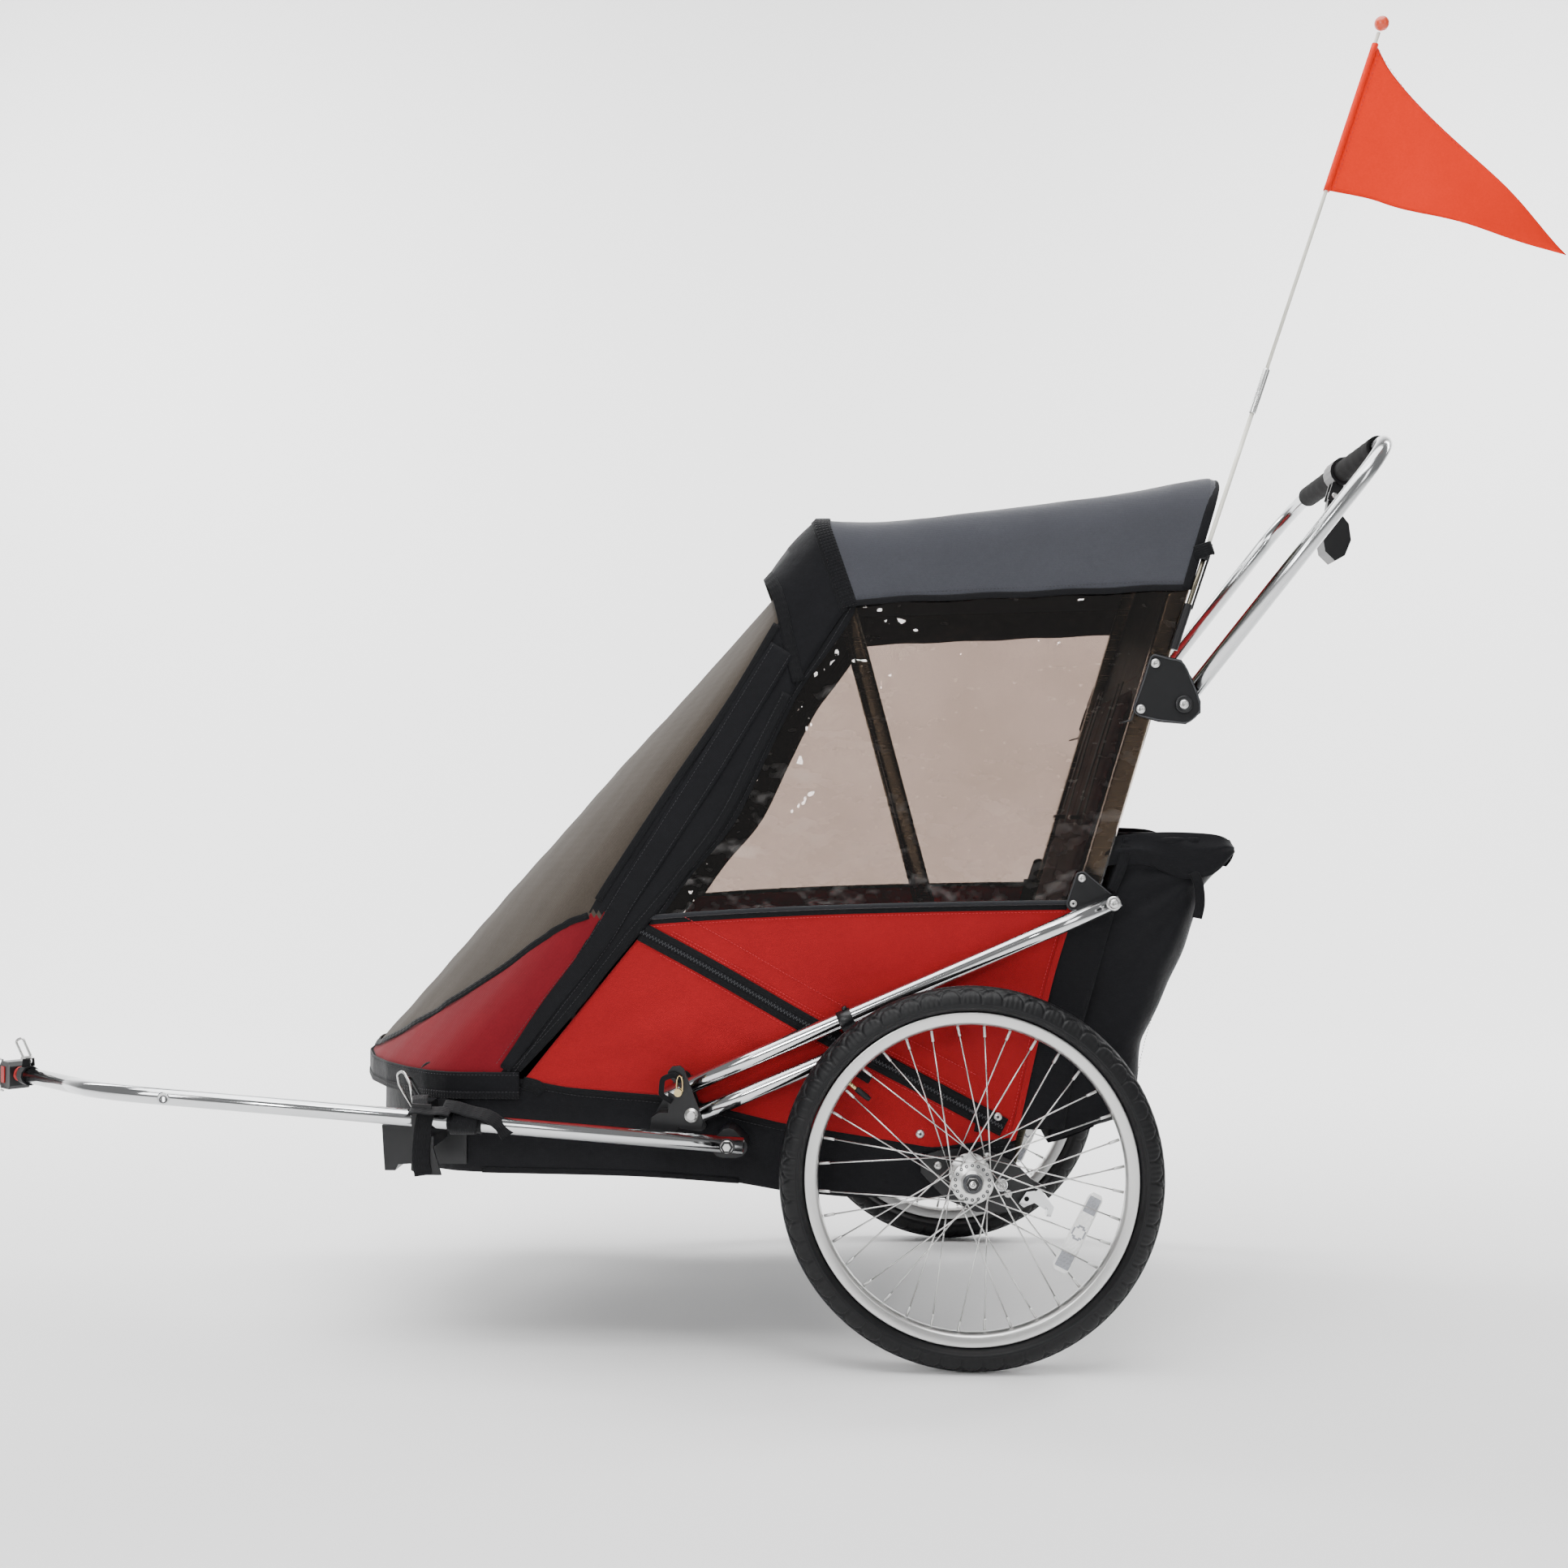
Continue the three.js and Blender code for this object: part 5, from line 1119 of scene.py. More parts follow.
def fmat(i, j):
    c = (R_[i, j] + R_[i + 1, j] + R_[i, j + 1] + R_[i + 1, j + 1]) / 4
    return region(*c)
cover = grid("front_cover_cloth", rows, None, thick=0.9, offset=0, mats=[MAT["net"], MAT["red_net"], MAT["nylon"]], face_mat=fmat)
SQC = dict(joint="fold", axis=(0.25, 0, 0.9682), anchor=P(-858, 0, 345), keep=0.04)
ct, hem_ = [], []
# binding where the two nets meet
bl = []
for k in range(0, 61):
    q = math.sin((-1 + 2 * k / 60) * math.pi / 2)
    zb_ = 374 + 200 * abs(q) ** 3.3
    # find the row share at which the cover reaches this height at this width
    best = min(tt, key=lambda t: abs((at(front_l, t)[1] + (at(side_l, t)[1] - at(front_l, t)[1]) * float(np.interp(abs(q), PL[:, 0], PL[:, 1]))) - zb_))
    F, S = at(front_l, best), at(side_l, best)
    g = float(np.interp(abs(q), PL[:, 0], PL[:, 1]))
    bl.append((F[0] + (S[0] - F[0]) * g, q * 314.6, zb_))
bl = np.array(bl)
nb_ = []
for p in bl:
    v = np.array([-0.6, 0, 0.35]) * (1 - abs(p[1]) / 330) * 2 + np.array([-0.15, np.sign(p[1]) * abs(p[1]) / 314 * 1.6, 0.1])
    nb_.append(v / np.linalg.norm(v))
ct.append(band("net_seam", bl + np.array(nb_) * 0.8, 9, 1.2, MAT["webbing"], normal=np.array(nb_), n=120))
# hem band round the nose, in two layers with a stitched edge
for (z, w, lift, m) in ((351, 33, 1.0, "nylon"), (337, 9, 1.9, "velcro")):
    hl, hn = [], []
    F, S = at(front_l, 0.11), at(side_l, 0.11)
    for k in range(-60, 61):
        q = math.sin(k / 60 * math.pi / 2)
        g = float(np.interp(abs(q), PL[:, 0], PL[:, 1]))
        hl.append(np.array([-858.5 + (-664 + 858.5) * g, q * 315.6, z]))
    hl = [np.array([-590, -315.6, z]), np.array([-627, -315.6, z])] + hl + [np.array([-627, 315.6, z]), np.array([-590, 315.6, z])]
    hl = np.array(hl)
    for i in range(len(hl)):
        a, b = hl[max(i - 1, 0)], hl[min(i + 1, len(hl) - 1)]
        d = (b - a) / np.linalg.norm(b - a)
        hn.append((-d[1], d[0], 0))
    hn = np.array(hn)
    if hn[len(hn) // 2][0] > 0:
        hn = -hn
    hem_.append(band("hem", hl + hn * lift, w, 1.3, MAT[m], normal=hn, n=220, smooth=False))
    if m == "nylon":
        for dz in (12.5, -9.5):
            hem_.append(stitches("hs", [hl[i] + hn[i] * (lift + 1.4) + np.array([0, 0, dz]) for i in range(0, len(hl), 3)], MAT["thread_black"], step=5, run=3.2, r=0.34, smooth=False))
# a folded tab on the hem at the near corner and its twin
for sg in (-1, 1):
    hem_.append(band("tab", [(-700, sg * 297, 364), (-716, sg * 289, 367), (-724, sg * 284.5, 358), (-722, sg * 286, 347)], 20, 1.8, MAT["webbing"], normal=(-0.5, sg * 0.85, 0.1), n=14))
# the net carries on under the hood's lower edge
low_ = cover_row(1.0)[:27]
up_ = resample([(-271, 0, 1024), (-269, 140, 1023.5), (-266, 276, 1021), (-262, 297, 1014), (-254, 308, 1000), (-245, 314.2, 968)], 27)
for sg in (-1, 1):
    gr = []
    for f in np.linspace(0, 1, 5):
        r_ = []
        for p, q in zip(low_, up_):
            q = np.array([q[0] + 11.0, q[1] - (1.6 if q[1] > 285 else 0.0), q[2] + 6.0])
            p = np.array(p) * (1 - f) + q * f
            r_.append((p[0], sg * p[1], p[2]))
        gr.append(r_)
    ct.append(grid("under_hood", gr, MAT["net"], thick=0.9, offset=0))
# side straps: the wide fly with a raised zip flap on it
for sg in (-1, 1):
    y = sg * 315.4
    inner = [(-585, 372), (-513, 450), (-438, 545), (-371, 625), (-314, 702), (-268, 790), (-229, 866)]
    ct.append(band("edge", [(x - 8, y, z) for x, z in inner], 13, 1.2, MAT["webbing"], normal=(0, sg, 0), n=90))
    flap = [(-609, 372), (-548, 456), (-487, 536), (-446, 603), (-392, 687), (-338, 771), (-285, 857), (-243, 925)]
    ct.append(band("flap", [(x, y + sg * 0.4, z) for x, z in flap], 34, 1.6, MAT["nylon"], normal=(0, sg, 0), n=110, widths=[15, 20, 26, 33, 36, 36, 34], wave_amp=0.5, wave_n=9))
    left = [(-612, 372), (-560, 452), (-509, 520), (-481, 566)]
    up = [(-486, 594), (-464, 629), (-388, 744), (-310, 857), (-250, 957)]
    ct.append(band("le", [(x, y, z) for x, z in left], 8, 1.1, MAT["webbing"], normal=(0, sg, 0), n=40))
    ct.append(band("le2", [(x, y, z) for x, z in up], 10, 1.3, MAT["webbing"], normal=(0, sg, 0), n=70))
    for off in (-13, 13):
        ct.append(stitches("fs", [(x + off * 0.84, y + sg * 2.2, z - off * 0.54) for x, z in flap], MAT["thread_black"], step=5, run=3.2, r=0.34, out=(0, sg * 0.4, 0)))
    ct.append(stitches("fs2", [(x - 12.5, y + sg * 1.4, z + 1) for x, z in inner], MAT["thread_black"], step=5, run=3.2, r=0.34, out=(0, sg * 0.4, 0)))
ctr = joined("front_cover_trim", ct)
chem = joined("front_cover_hem", hem_)
finish_piece(ctr, "root", "black_nylon", squash=SQC)
finish_piece(chem, "root", "black_nylon", squash=dict(joint="fold", axis=(0, 0, 1), anchor=P(0, 0, 338), keep=0.1))
finish_piece(cover, "root", "mesh_fabric", ["front_cover"], squash=SQC, sheet=dict(flat=(0.95, 1.05), held="stretched", rests_on=["front_hoop_tube", "tub_skin"], area=0.80, with_pieces=[ctr, chem]))

# ------------------------------------------------------------------ canopy
topL = [(-192, 1101), (-180, 1099.3), (-163, 1098.3), (-97, 1099.4), (66, 1116.8), (208, 1134.3), (306, 1151.5), (320, 1150.5), (326.5, 1147)]
lowL = [(-155, 980), (-144, 981.5), (-130, 983), (-72, 986), (70, 991), (190, 996), (270, 999), (279, 1000), (287, 1001)]
NX = 80
cxs = []
for k in range(NX):
    t = k / (NX - 1)
    cxs.append((at(topL, t), at(lowL, t)))
rows = []
for k, ((xt, z1), (xl, z0)) in enumerate(cxs):
    t = k / (NX - 1)
    h = []
    H = [(315.2, z0), (315.4, z0 + (z1 - 50 - z0) * 0.33), (315.4, z0 + (z1 - 50 - z0) * 0.66), (315.2, z1 - 50), (313.6, z1 - 38), (309.6, z1 - 25), (301.8, z1 - 12.5), (290, z1 - 4.0), (274, z1 - 0.4), (210, z1 + 1.6), (140, z1 + 2.6), (70, z1 + 3.1), (0, z1 + 3.2)]
    H = resample(H, 40)
    for y, z in H:
        f = min(1, max(0, (z - z0) / (z1 - 12 - z0)))
        x = xl + (xt - xl) * f
        span = math.sin(math.pi * min(1, max(0, (t - 0.03) / 0.93)))
        sag = -2.2 * span * (1 if z > z1 - 6 else 0.0)
        yy = y - (1.1 * span * (0.5 + 0.5 * math.sin(x * 0.045 + z * 0.02)) if z < z1 - 30 else 0)
        # the skirt's lower edge waves a little
        zz = z + sag + (0.8 * math.sin(x * 0.06) * max(0, 1 - (z - z0) / 30) if z < z0 + 30 else 0) + 0.35 * wrinkle(x, y, 1.9) * (1 if z > z1 - 6 else 0)
        h.append((x, -yy, zz))
    rows.append(h + [(x, -y, z) for x, y, z in h[:-1][::-1]])
canopy = grid("canopy_cloth", rows, MAT["canopy"], thick=1.2, offset=0)
G = np.array(rows)
cpt = []
def edge_band(line, w, mat, sgn=1, lift=0.7, n=120, t=1.1):
    line = np.array(line)
    nr = []
    for p in line:
        a = abs(p[1])
        v = np.array([0, np.sign(p[1]) if a > 314 else np.sign(p[1]) * max(0.0, (a - 262) / 52) ** 1.5, 1.0 if a < 290 else max(0.0, (314 - a) / 24)])
        nr.append(v / (np.linalg.norm(v) + 1e-9))
    nr = np.array(nr)
    return band("eb", line + nr * lift, w, t, MAT[mat], normal=nr, n=n, smooth=False)
cpt.append(edge_band(G[1], 20, "velcro", n=200))
cpt.append(edge_band(G[-2] + np.array([-3, 0, 0]), 12, "nylon", n=200))
for c_ in (0, -1):
    ln = G[:, c_] + np.array([0, 0, 3.5])
    cpt.append(edge_band(ln, 8, "nylon", n=100))
    sgy = np.sign(ln[0][1])
    cpt.append(stitches("s", [p + np.array([0, sgy * 1.2, 8]) for p in ln[::9]], MAT["thread_black"], step=4.8, run=3.1, r=0.36, out=(0, sgy * 0.4, 0)))
    # seam along the shoulder, where the roof meets the skirt
    k_ = 21 if c_ == 0 else -22
    ln2 = G[3:-2, k_]
    cpt.append(stitches("s2", [p + np.array([0, sgy * 0.8, 0.6]) for p in ln2[::8]], MAT["thread_black"], step=4.8, run=3.1, r=0.36, out=(0, sgy * 0.3, 0.3)))
CB = ("front_hoop", "back_frame", P(-150, 0, 1050), P(285, 0, 1050))
ctm = joined("canopy_trim", cpt)
finish_piece(ctm, slot="black_nylon", blend=CB)
finish_piece(canopy, slot="canopy_fabric", replaces=["canopy"], blend=CB, sheet=dict(flat=(0.92, 0.53), held="stretched", rests_on=["front_hoop_tube", "rear_hoop_bar"], area=0.45, with_pieces=[ctm]))

# hood panel in front of the canopy
A = [(-159, 314.6, 977), (-173, 314.6, 1020), (-184.5, 314.0, 1052), (-192.5, 307, 1078), (-197, 292, 1094), (-199, 270, 1100.6), (-199, 135, 1102.8), (-199, 0, 1103.5)]
C = [(-224, 314.6, 878), (-236, 314.6, 925), (-245, 314.2, 968), (-254, 308, 1000), (-262, 297, 1014), (-266, 276, 1021), (-269, 140, 1023.5), (-271, 0, 1024)]
A, C = resample(A, 40), resample(C, 40)
rows = []
for k in range(26):
    t = k / 25
    r = []
    for i in range(40):
        p = A[i] * (1 - t) + C[i] * t
        b = 5.0 * math.sin(math.pi * t)
        w = 1 if p[1] < 280 else 0.25
        p = p + np.array([-0.75, 0, 0.62]) * b * w + np.array([0, 0, 0.5]) * wrinkle(p[0], p[1], 2.7) * math.sin(math.pi * t)
        r.append(p)
    rows.append([(x, -y, z) for x, y, z in r] + [(x, y, z) for x, y, z in r[:-1][::-1]])
hood = grid("hood_cloth", rows, MAT["nylon"], thick=1.2, offset=0)
Hh = np.array(rows)
hp_ = []
for line_, w in ((Hh[-2], 16), (Hh[1], 10)):
    nn = []
    for p in line_:
        a = abs(p[1])
        v = np.array([-0.75, 0, 0.6]) * (1 if a < 285 else max(0, (314 - a) / 29)) + np.array([0, np.sign(p[1]) * (1 if a > 305 else max(0, (a - 270) / 35)), 0])
        nn.append(v / (np.linalg.norm(v) + 1e-9))
    nn = np.array(nn)
    hp_.append(band("hb", line_ + nn * 0.8, w, 1.2, MAT["webbing"], normal=nn, n=180, smooth=False))
hoodt = joined("hood_trim", hp_)
SQH = dict(joint="fold", axis=(0.9673, 0, 0.2537), anchor=P(-184, 0, 1086), keep=0.12)
finish_piece(hoodt, "front_hoop", "black_nylon", squash=SQH)
finish_piece(hood, "front_hoop", "black_nylon", ["hood_panel"], squash=SQH, sheet=dict(flat=(0.80, 0.16), held="stretched", rests_on=["front_hoop_tube"], area=0.095, with_pieces=[hoodt]))

# ------------------------------------------------------------------ back panel and seat
dR = (REAR_TOP - PIV) / np.linalg.norm(REAR_TOP - PIV); LR = np.linalg.norm(REAR_TOP - PIV)
def rq(s, d):
    return PIV[0] + dR[0] * s + dR[1] * d, PIV[1] + dR[1] * s - dR[0] * d
rows = []
for k in range(50):
    s = 112 + (LR - 34 - 112) * k / 49
    half = 279 if k < 43 else 279 - (k - 42) * 4
    row = []
    for j in range(40):
        y = half * (-1 + 2 * j / 39)
        bow = (1 - (y / half) ** 2) * 14 + 1.4 * wrinkle(y, s, 4.0, 0.8) * (1 - (y / half) ** 4)
        x, z = rq(s, 7 + bow)
        row.append((x, y, z))
    rows.append(row)
back = grid("back_cloth", rows, MAT["red"], thick=1.2, offset=0)
Bk = np.array(rows)
bt = [band("bb", Bk[:, c] + np.array([1.2, 0, 0]), 14, 1.2, MAT["webbing"], normal=(0.95, 0, -0.3), n=80) for c in (1, -2)]
bt += [band("bm", Bk[:, c] + np.array([1.6, 0, 0]), 26, 1.3, MAT["webbing"], normal=(0.95, 0, -0.3), n=80) for c in (13, 26)]
lin = []
for k in range(50):
    s = 114 + (LR - 36 - 114) * k / 49
    half = 277 if k < 43 else 277 - (k - 42) * 4
    lin.append([(*rq(s, 3.4 + (1 - (y / half) ** 2) * 14),) for y in np.linspace(-half, half, 40)])
lin = [[(xz[0], y, xz[1]) for xz, y in zip(r, np.linspace(-(277 if k < 43 else 277 - (k - 42) * 4), 277 if k < 43 else 277 - (k - 42) * 4, 40))] for k, r in enumerate(lin)]
bt.append(grid("lining", lin, MAT["nylon"], thick=0.6, offset=0))
bt += [band("bt", Bk[-2] + np.array([1.2, 0, 0]), 16, 1.2, MAT["webbing"], normal=(0.95, 0, -0.3), n=60)]
for c in (3, 15, 11, 28, 24, 36):
    bt.append(stitches("s", Bk[::6, c] + np.array([1.4, 0, 0]), MAT["thread_red"], out=(0.4, 0, -0.1)))
btr = joined("back_trim", bt)
finish_piece(btr, "back_frame", "black_nylon")
finish_piece(back, "back_frame", "red_fabric", ["back_panel"], sheet=dict(flat=(0.60, 0.84), held="stretched", rests_on=["rear_hoop_bar"], area=0.45, with_pieces=[btr]))


def puffed(name, pts_fn, nu, nv, thick, mat, cap_mm, seams_u=(), seams_v=()):
    """A cushion: a flat closed pad, swollen by cloth pressure, its growth capped."""
    top, low = [], []
    for i in range(nu):
        rt, rl = [], []
        for j in range(nv):
            u, v = i / (nu - 1), j / (nv - 1)
            p, n_ = pts_fn(u, v)
            e = min(1.0, 7 * min(u, 1 - u, v, 1 - v)) ** 0.5
            rt.append(np.array(p) + np.array(n_) * thick * 0.5 * e)
            rl.append(np.array(p) - np.array(n_) * thick * 0.5 * e)
        top.append(rt); low.append(rl)
    verts = [P(*p) for r in top for p in r] + [P(*p) for r in low for p in r]
    faces = []
    off = nu * nv
    for i in range(nu - 1):
        for j in range(nv - 1):
            a, b, c, d = i * nv + j, i * nv + j + 1, (i + 1) * nv + j + 1, (i + 1) * nv + j
            faces.append((a, b, c, d)); faces.append((off + d, off + c, off + b, off + a))
    for i in range(nu - 1):
        for j0, flip in ((0, True), (nv - 1, False)):
            a, b = i * nv + j0, (i + 1) * nv + j0
            q = (a, b, off + b, off + a)
            faces.append(q if not flip else q[::-1])
    for j in range(nv - 1):
        for i0, flip in ((0, False), (nu - 1, True)):
            a, b = i0 * nv + j, i0 * nv + j + 1
            q = (a, b, off + b, off + a)
            faces.append(q if not flip else q[::-1])
    o = obj_from(name, verts, faces, mat)
    bm = bmesh.new(); bm.from_mesh(o.data); bmesh.ops.remove_doubles(bm, verts=bm.verts, dist=0.0004); bmesh.ops.recalc_face_normals(bm, faces=bm.faces); bm.to_mesh(o.data); bm.free()
    mod(o, "REMESH", mode="VOXEL", voxel_size=0.006)
    apply_mods(o)
    rest = np.array([v.co[:] for v in o.data.vertices])
    m = mod(o, "CLOTH")
    m.settings.use_pressure = True
    m.settings.uniform_pressure_force = 4.0
    m.settings.effector_weights.gravity = 0
    m.settings.quality = 4
    m.collision_settings.use_collision = False
    m.collision_settings.use_self_collision = False
    m.point_cache.frame_start, m.point_cache.frame_end = 1, 14
    sc = bpy.context.scene
    for f in range(1, 15):
        sc.frame_set(f)
    dg = bpy.context.evaluated_depsgraph_get()
    me = o.evaluated_get(dg).to_mesh()
    now = np.array([v.co[:] for v in me.vertices])
    o.evaluated_get(dg).to_mesh_clear()
    o.modifiers.clear()
    sc.frame_set(1)
    d = now - rest
    ln = np.linalg.norm(d, axis=1)[:, None]
    d = d * np.minimum(1, (cap_mm / 1000) / (ln + 1e-9))
    for v, c in zip(o.data.vertices, rest + d):
        v.co = c
    for p in o.data.polygons:
        p.use_smooth = True
    if not o.data.materials:
        o.data.materials.append(mat)
    return o


def back_pad(u, v):
    s = 182 + 515 * u
    y = -228 + 456 * v
    x, z = rq(s, -9.5)
    n = np.array([-dR[1], 0, dR[0]])
    return (x, y, z), n


pad = puffed("seat_back_pad", back_pad, 30, 30, 10, MAT["dark_red"], 3.4)
def quilt(o, lines, axis_fn, depth, width):
    for v in o.data.vertices:
        s_, y_, n_ = axis_fn(v.co)
        k = 0
        for kind, c in lines:
            d = (s_ if kind == "s" else y_) - c
            k = max(k, math.exp(-(d / width) ** 2))
        v.co = v.co - Vector(n_) * (depth / 1000 * k)
def back_axes(co):
    x, z = (co.x - SX) * 1000, co.z * 1000
    s = (x - PIV[0]) * dR[0] + (z - PIV[1]) * dR[1]
    d = (x - PIV[0]) * dR[1] - (z - PIV[1]) * dR[0]
    n = (-dR[1], 0, dR[0])
    return s, co.y * 1000, (n if d < -9.5 else (-n[0], 0, -n[2]))
quilt(pad, [("s", 330), ("s", 460), ("s", 580), ("y", 0)], back_axes, 2.2, 5)
mod(pad, "SUBSURF", levels=1, render_levels=1)
apply_mods(pad)
finish_piece(pad, "back_frame", "red_fabric", ["seat_back"], padded=0.5)

seat_mid = resample([(-121, 261), (-200, 286), (-300, 324), (-352, 342), (-377, 343.5), (-395, 338)], 40)
def seat_fn(u, v):
    i = u * 39; k = min(int(i), 38); f = i - k
    p = seat_mid[k] * (1 - f) + seat_mid[k + 1] * f
    t = seat_mid[k + 1] - seat_mid[k]; t /= np.linalg.norm(t)
    return (p[0], -220 + 440 * v, p[1]), np.array([t[1], 0, -t[0]])
spad = puffed("seat_pad_cushion", seat_fn, 26, 34, 8, MAT["dark_red"], 2.6)
mod(spad, "SUBSURF", levels=1, render_levels=1)
apply_mods(spad)
finish_piece(spad, "root", "red_fabric", ["seat_pad"], padded=0.5)

# harness webbing on the seat back, with a buckle
hw = []
for y in (-110, 110):
    for yy, sgn in ((y - 42, -1), (y + 42, 1)):
        ln = []
        for k in range(12):
            s = 480 + 210 * k / 11
            x, z = rq(s, -16.5 - 1.5 * math.sin(math.pi * k / 11))
            ln.append((x, yy + (y - yy) * 0.45 * math.sin(math.pi * k / 22), z))
        hw.append(band("w", ln, 24, 1.4, MAT["webbing"], normal=(-dR[1], 0, dR[0]), n=40))
    x, z = rq(492, -19)
    hw.append(sweep("buckle", [(x - 2, y - 22, z), (x - 4, y, z), (x - 2, y + 22, z)], [(-9, -3), (9, -3), (11, 0), (9, 3), (-9, 3), (-11, 0)], MAT["black"]))
har = joined("harness_webbing", hw)
finish_piece(har, "back_frame", "black_nylon")

# ------------------------------------------------------------------ cargo bag
fr = resample([(104, 278), (128, 420), (164, 548), (200, 674)], 60)
rr = resample([(164, 300), (196, 306), (212, 313), (223, 347), (228, 400), (245, 436), (282, 518), (304, 586), (311, 613), (338, 640), (347, 655), (340, 669), (326, 673)], 60)
def bag_loop(k, inset=0.0, lift=0.0):
    t = k / 59
    a, b = fr[k], rr[k]
    L = np.linalg.norm(b - a)
    e = (b - a) / L
    W = 303.0 - inset
    r = min(38.0, L * 0.42)
    pts = []
    # front wall, then round the near side, the rear wall and the far side
    for y in np.linspace(-W + 12, W - 12, 16):
        pts.append((0 + inset, y))
    for u_ in np.linspace(0, L - r, 14):
        pts.append((u_ + 2, W))
    for an in np.linspace(10, 80, 6):
        pts.append((L - r + r * math.sin(math.radians(an)), W - r + r * math.cos(math.radians(an))))
    for y in np.linspace(W - r, -(W - r), 34):
        pts.append((L - inset, y))
    for an in np.linspace(80, 10, 6):
        pts.append((L - r + r * math.sin(math.radians(an)), -(W - r + r * math.cos(math.radians(an)))))
    for u_ in np.linspace(L - r, 0, 14):
        pts.append((u_ + 2, -W))
    out = []
    for (u_, y) in pts:
        x, z = a + e * u_
        back_ = u_ / max(L, 1)
        fold = 1.6 * math.sin(y * 0.045 + t * 9) * back_ + 1.4 * math.sin(z * 0.05 + x * 0.09 + (0 if y < 0 else 1.3))
        rim = math.exp(-((t - 0.93) / 0.07) ** 2)
        gather = 2.6 * rim * math.sin(y * 0.16 + 0.7 * math.sin(y * 0.05)) * back_ + 1.6 * rim * math.sin(u_ * 0.21)
        sagx = 3.5 * math.sin(math.pi * t) * (1 - (y / 303) ** 2) * back_
        w_ = 1 - 0.012 * math.sin(math.pi * t) * (1 + math.sin(z * 0.03))
        drop = -4.0 * (y / 303) ** 2 * rim * 0 - 3.0 * rim * (1 - (y / 303) ** 2) * back_
        side = 1 if abs(y) > 290 and 6 < u_ < L - 20 else 0.35 * back_
        an = math.atan2(z - 640, x - 318)
        rr_ = math.hypot(z - 640, x - 318)
        pull = 3.0 * math.sin(an * 15.0 + 0.6) * math.exp(-((rr_ - 110) / 95) ** 2) * side
        y = y + math.copysign(1, y) * (pull - 1.5) if abs(y) > 250 else y
        out.append((x + (fold * 0.5 + gather * 0.6 - sagx * 0.4) * back_, y * w_ + (0.8 * gather if abs(y) > 290 else 0) * np.sign(y) * 0.6, z + gather * 0.8 * rim + drop))
    return out
rows = [bag_loop(k) for k in range(60)]
rows = [r + [r[0]] for r in rows]
bag = grid("cargo_bag_shell", rows, MAT["nylon"], thick=1.3, offset=0)
bm = bmesh.new(); bm.from_mesh(bag.data); bmesh.ops.remove_doubles(bm, verts=bm.verts, dist=0.0003)
bm.to_mesh(bag.data); bm.free()
# floor of the bag
rows = []
a, b = fr[0], rr[0]
for k in range(10):
    f = k / 9
    rows.append([tuple(np.array([a[0] + (b[0] - a[0]) * f, y, a[1] + (b[1] - a[1]) * f - 2.5 * math.sin(math.pi * f)])) for y in np.linspace(-300, 300, 40)])
bag_floor = grid("bf", rows, MAT["nylon"], thick=1.3, offset=0)
# cloth that closes the gap between the bag and the side panel, outside the upright
gl = []
for sg in (-1, 1):
    rows = []
    for k in range(40):
        z = 296 + (600 - 296) * k / 39
        x0 = float(np.interp(z, [284, 481, 590], [46, 92, 122]))
        x1 = float(np.interp(z, [278, 420, 548, 676], [108, 132, 168, 204])) + 14
        rows.append([(x0 + (x1 - x0) * j / 9, sg * (307.9 - 3.2 * (j / 9) ** 2 + 0.35 * wrinkle(x0 + j * 9, z, 1.1)), z) for j in range(10)])
    gl.append(grid("gus", rows, MAT["nylon"], thick=0.8, offset=0))
bag = joined("cargo_bag_shell", [bag, bag_floor] + gl)
tr = []
rim_line = np.array(bag_loop(59))
tr.append(sweep("elastic", resample(rim_line[8:], 160, False), circle(4.2, 10), MAT["nylon"]))
# a loose flap folded over the rim, in soft folds that gather at the upright
def rim_flap():
    tl = resample([(188, 678), (215, 681.5), (262, 684), (312, 682), (334, 677), (346, 667)], 70)
    bl_ = resample([(170, 636), (196, 641), (222, 643), (262, 630), (290, 622), (314, 628), (336, 644), (348, 656)], 70)
    rows = []
    for k in range(26):
        t = k / 25
        r = []
        for i in range(70):
            f = i / 69
            p = tl[i] * (1 - t) + bl_[i] * t
            swell = 5.2 * math.sin(math.pi * min(1, t * 1.05)) * (0.5 + 0.5 * f)
            fold = 1.9 * (1 - 2 * abs(math.sin(math.pi * (1.9 * t - 0.75 * f + 0.15 * math.sin(f * 7))))) * (0.35 + 0.65 * math.sin(math.pi * t))
            hook = -9.0 * max(0.0, (f - 0.86) / 0.14) ** 2
            r.append((p[0], -(303.2 + swell + fold + hook - 2.6 * (1 - t) ** 3), p[1] + 1.4 * math.sin(f * 21) * t))
        rows.append(r)
    return grid("flap", rows, MAT["nylon"], thick=1.2, offset=0)
def rear_flap():
    rows = []
    for k in range(22):
        t = k / 21
        r = []
        for i in range(110):
            y = -296 + 592 * i / 109
            x = 341 + 6.5 * math.sin(math.pi * t) + 2.0 * math.sin(y * 0.06 + 2.5 * t) * t + 1.2 * math.sin(y * 0.13 + 1) * t - 4 * t
            z = 674 - 36 * t + 1.8 * math.sin(y * 0.045 + 1.2) * t - 2.2 * (1 - (y / 300) ** 2)
            r.append((x, y, z))
        rows.append(r)
    return grid("rflap", rows, MAT["nylon"], thick=1.2, offset=0)
nf = rim_flap()
bag = joined("cargo_bag_shell", [bag, nf, mirrored(nf, "flap_r"), rear_flap()])
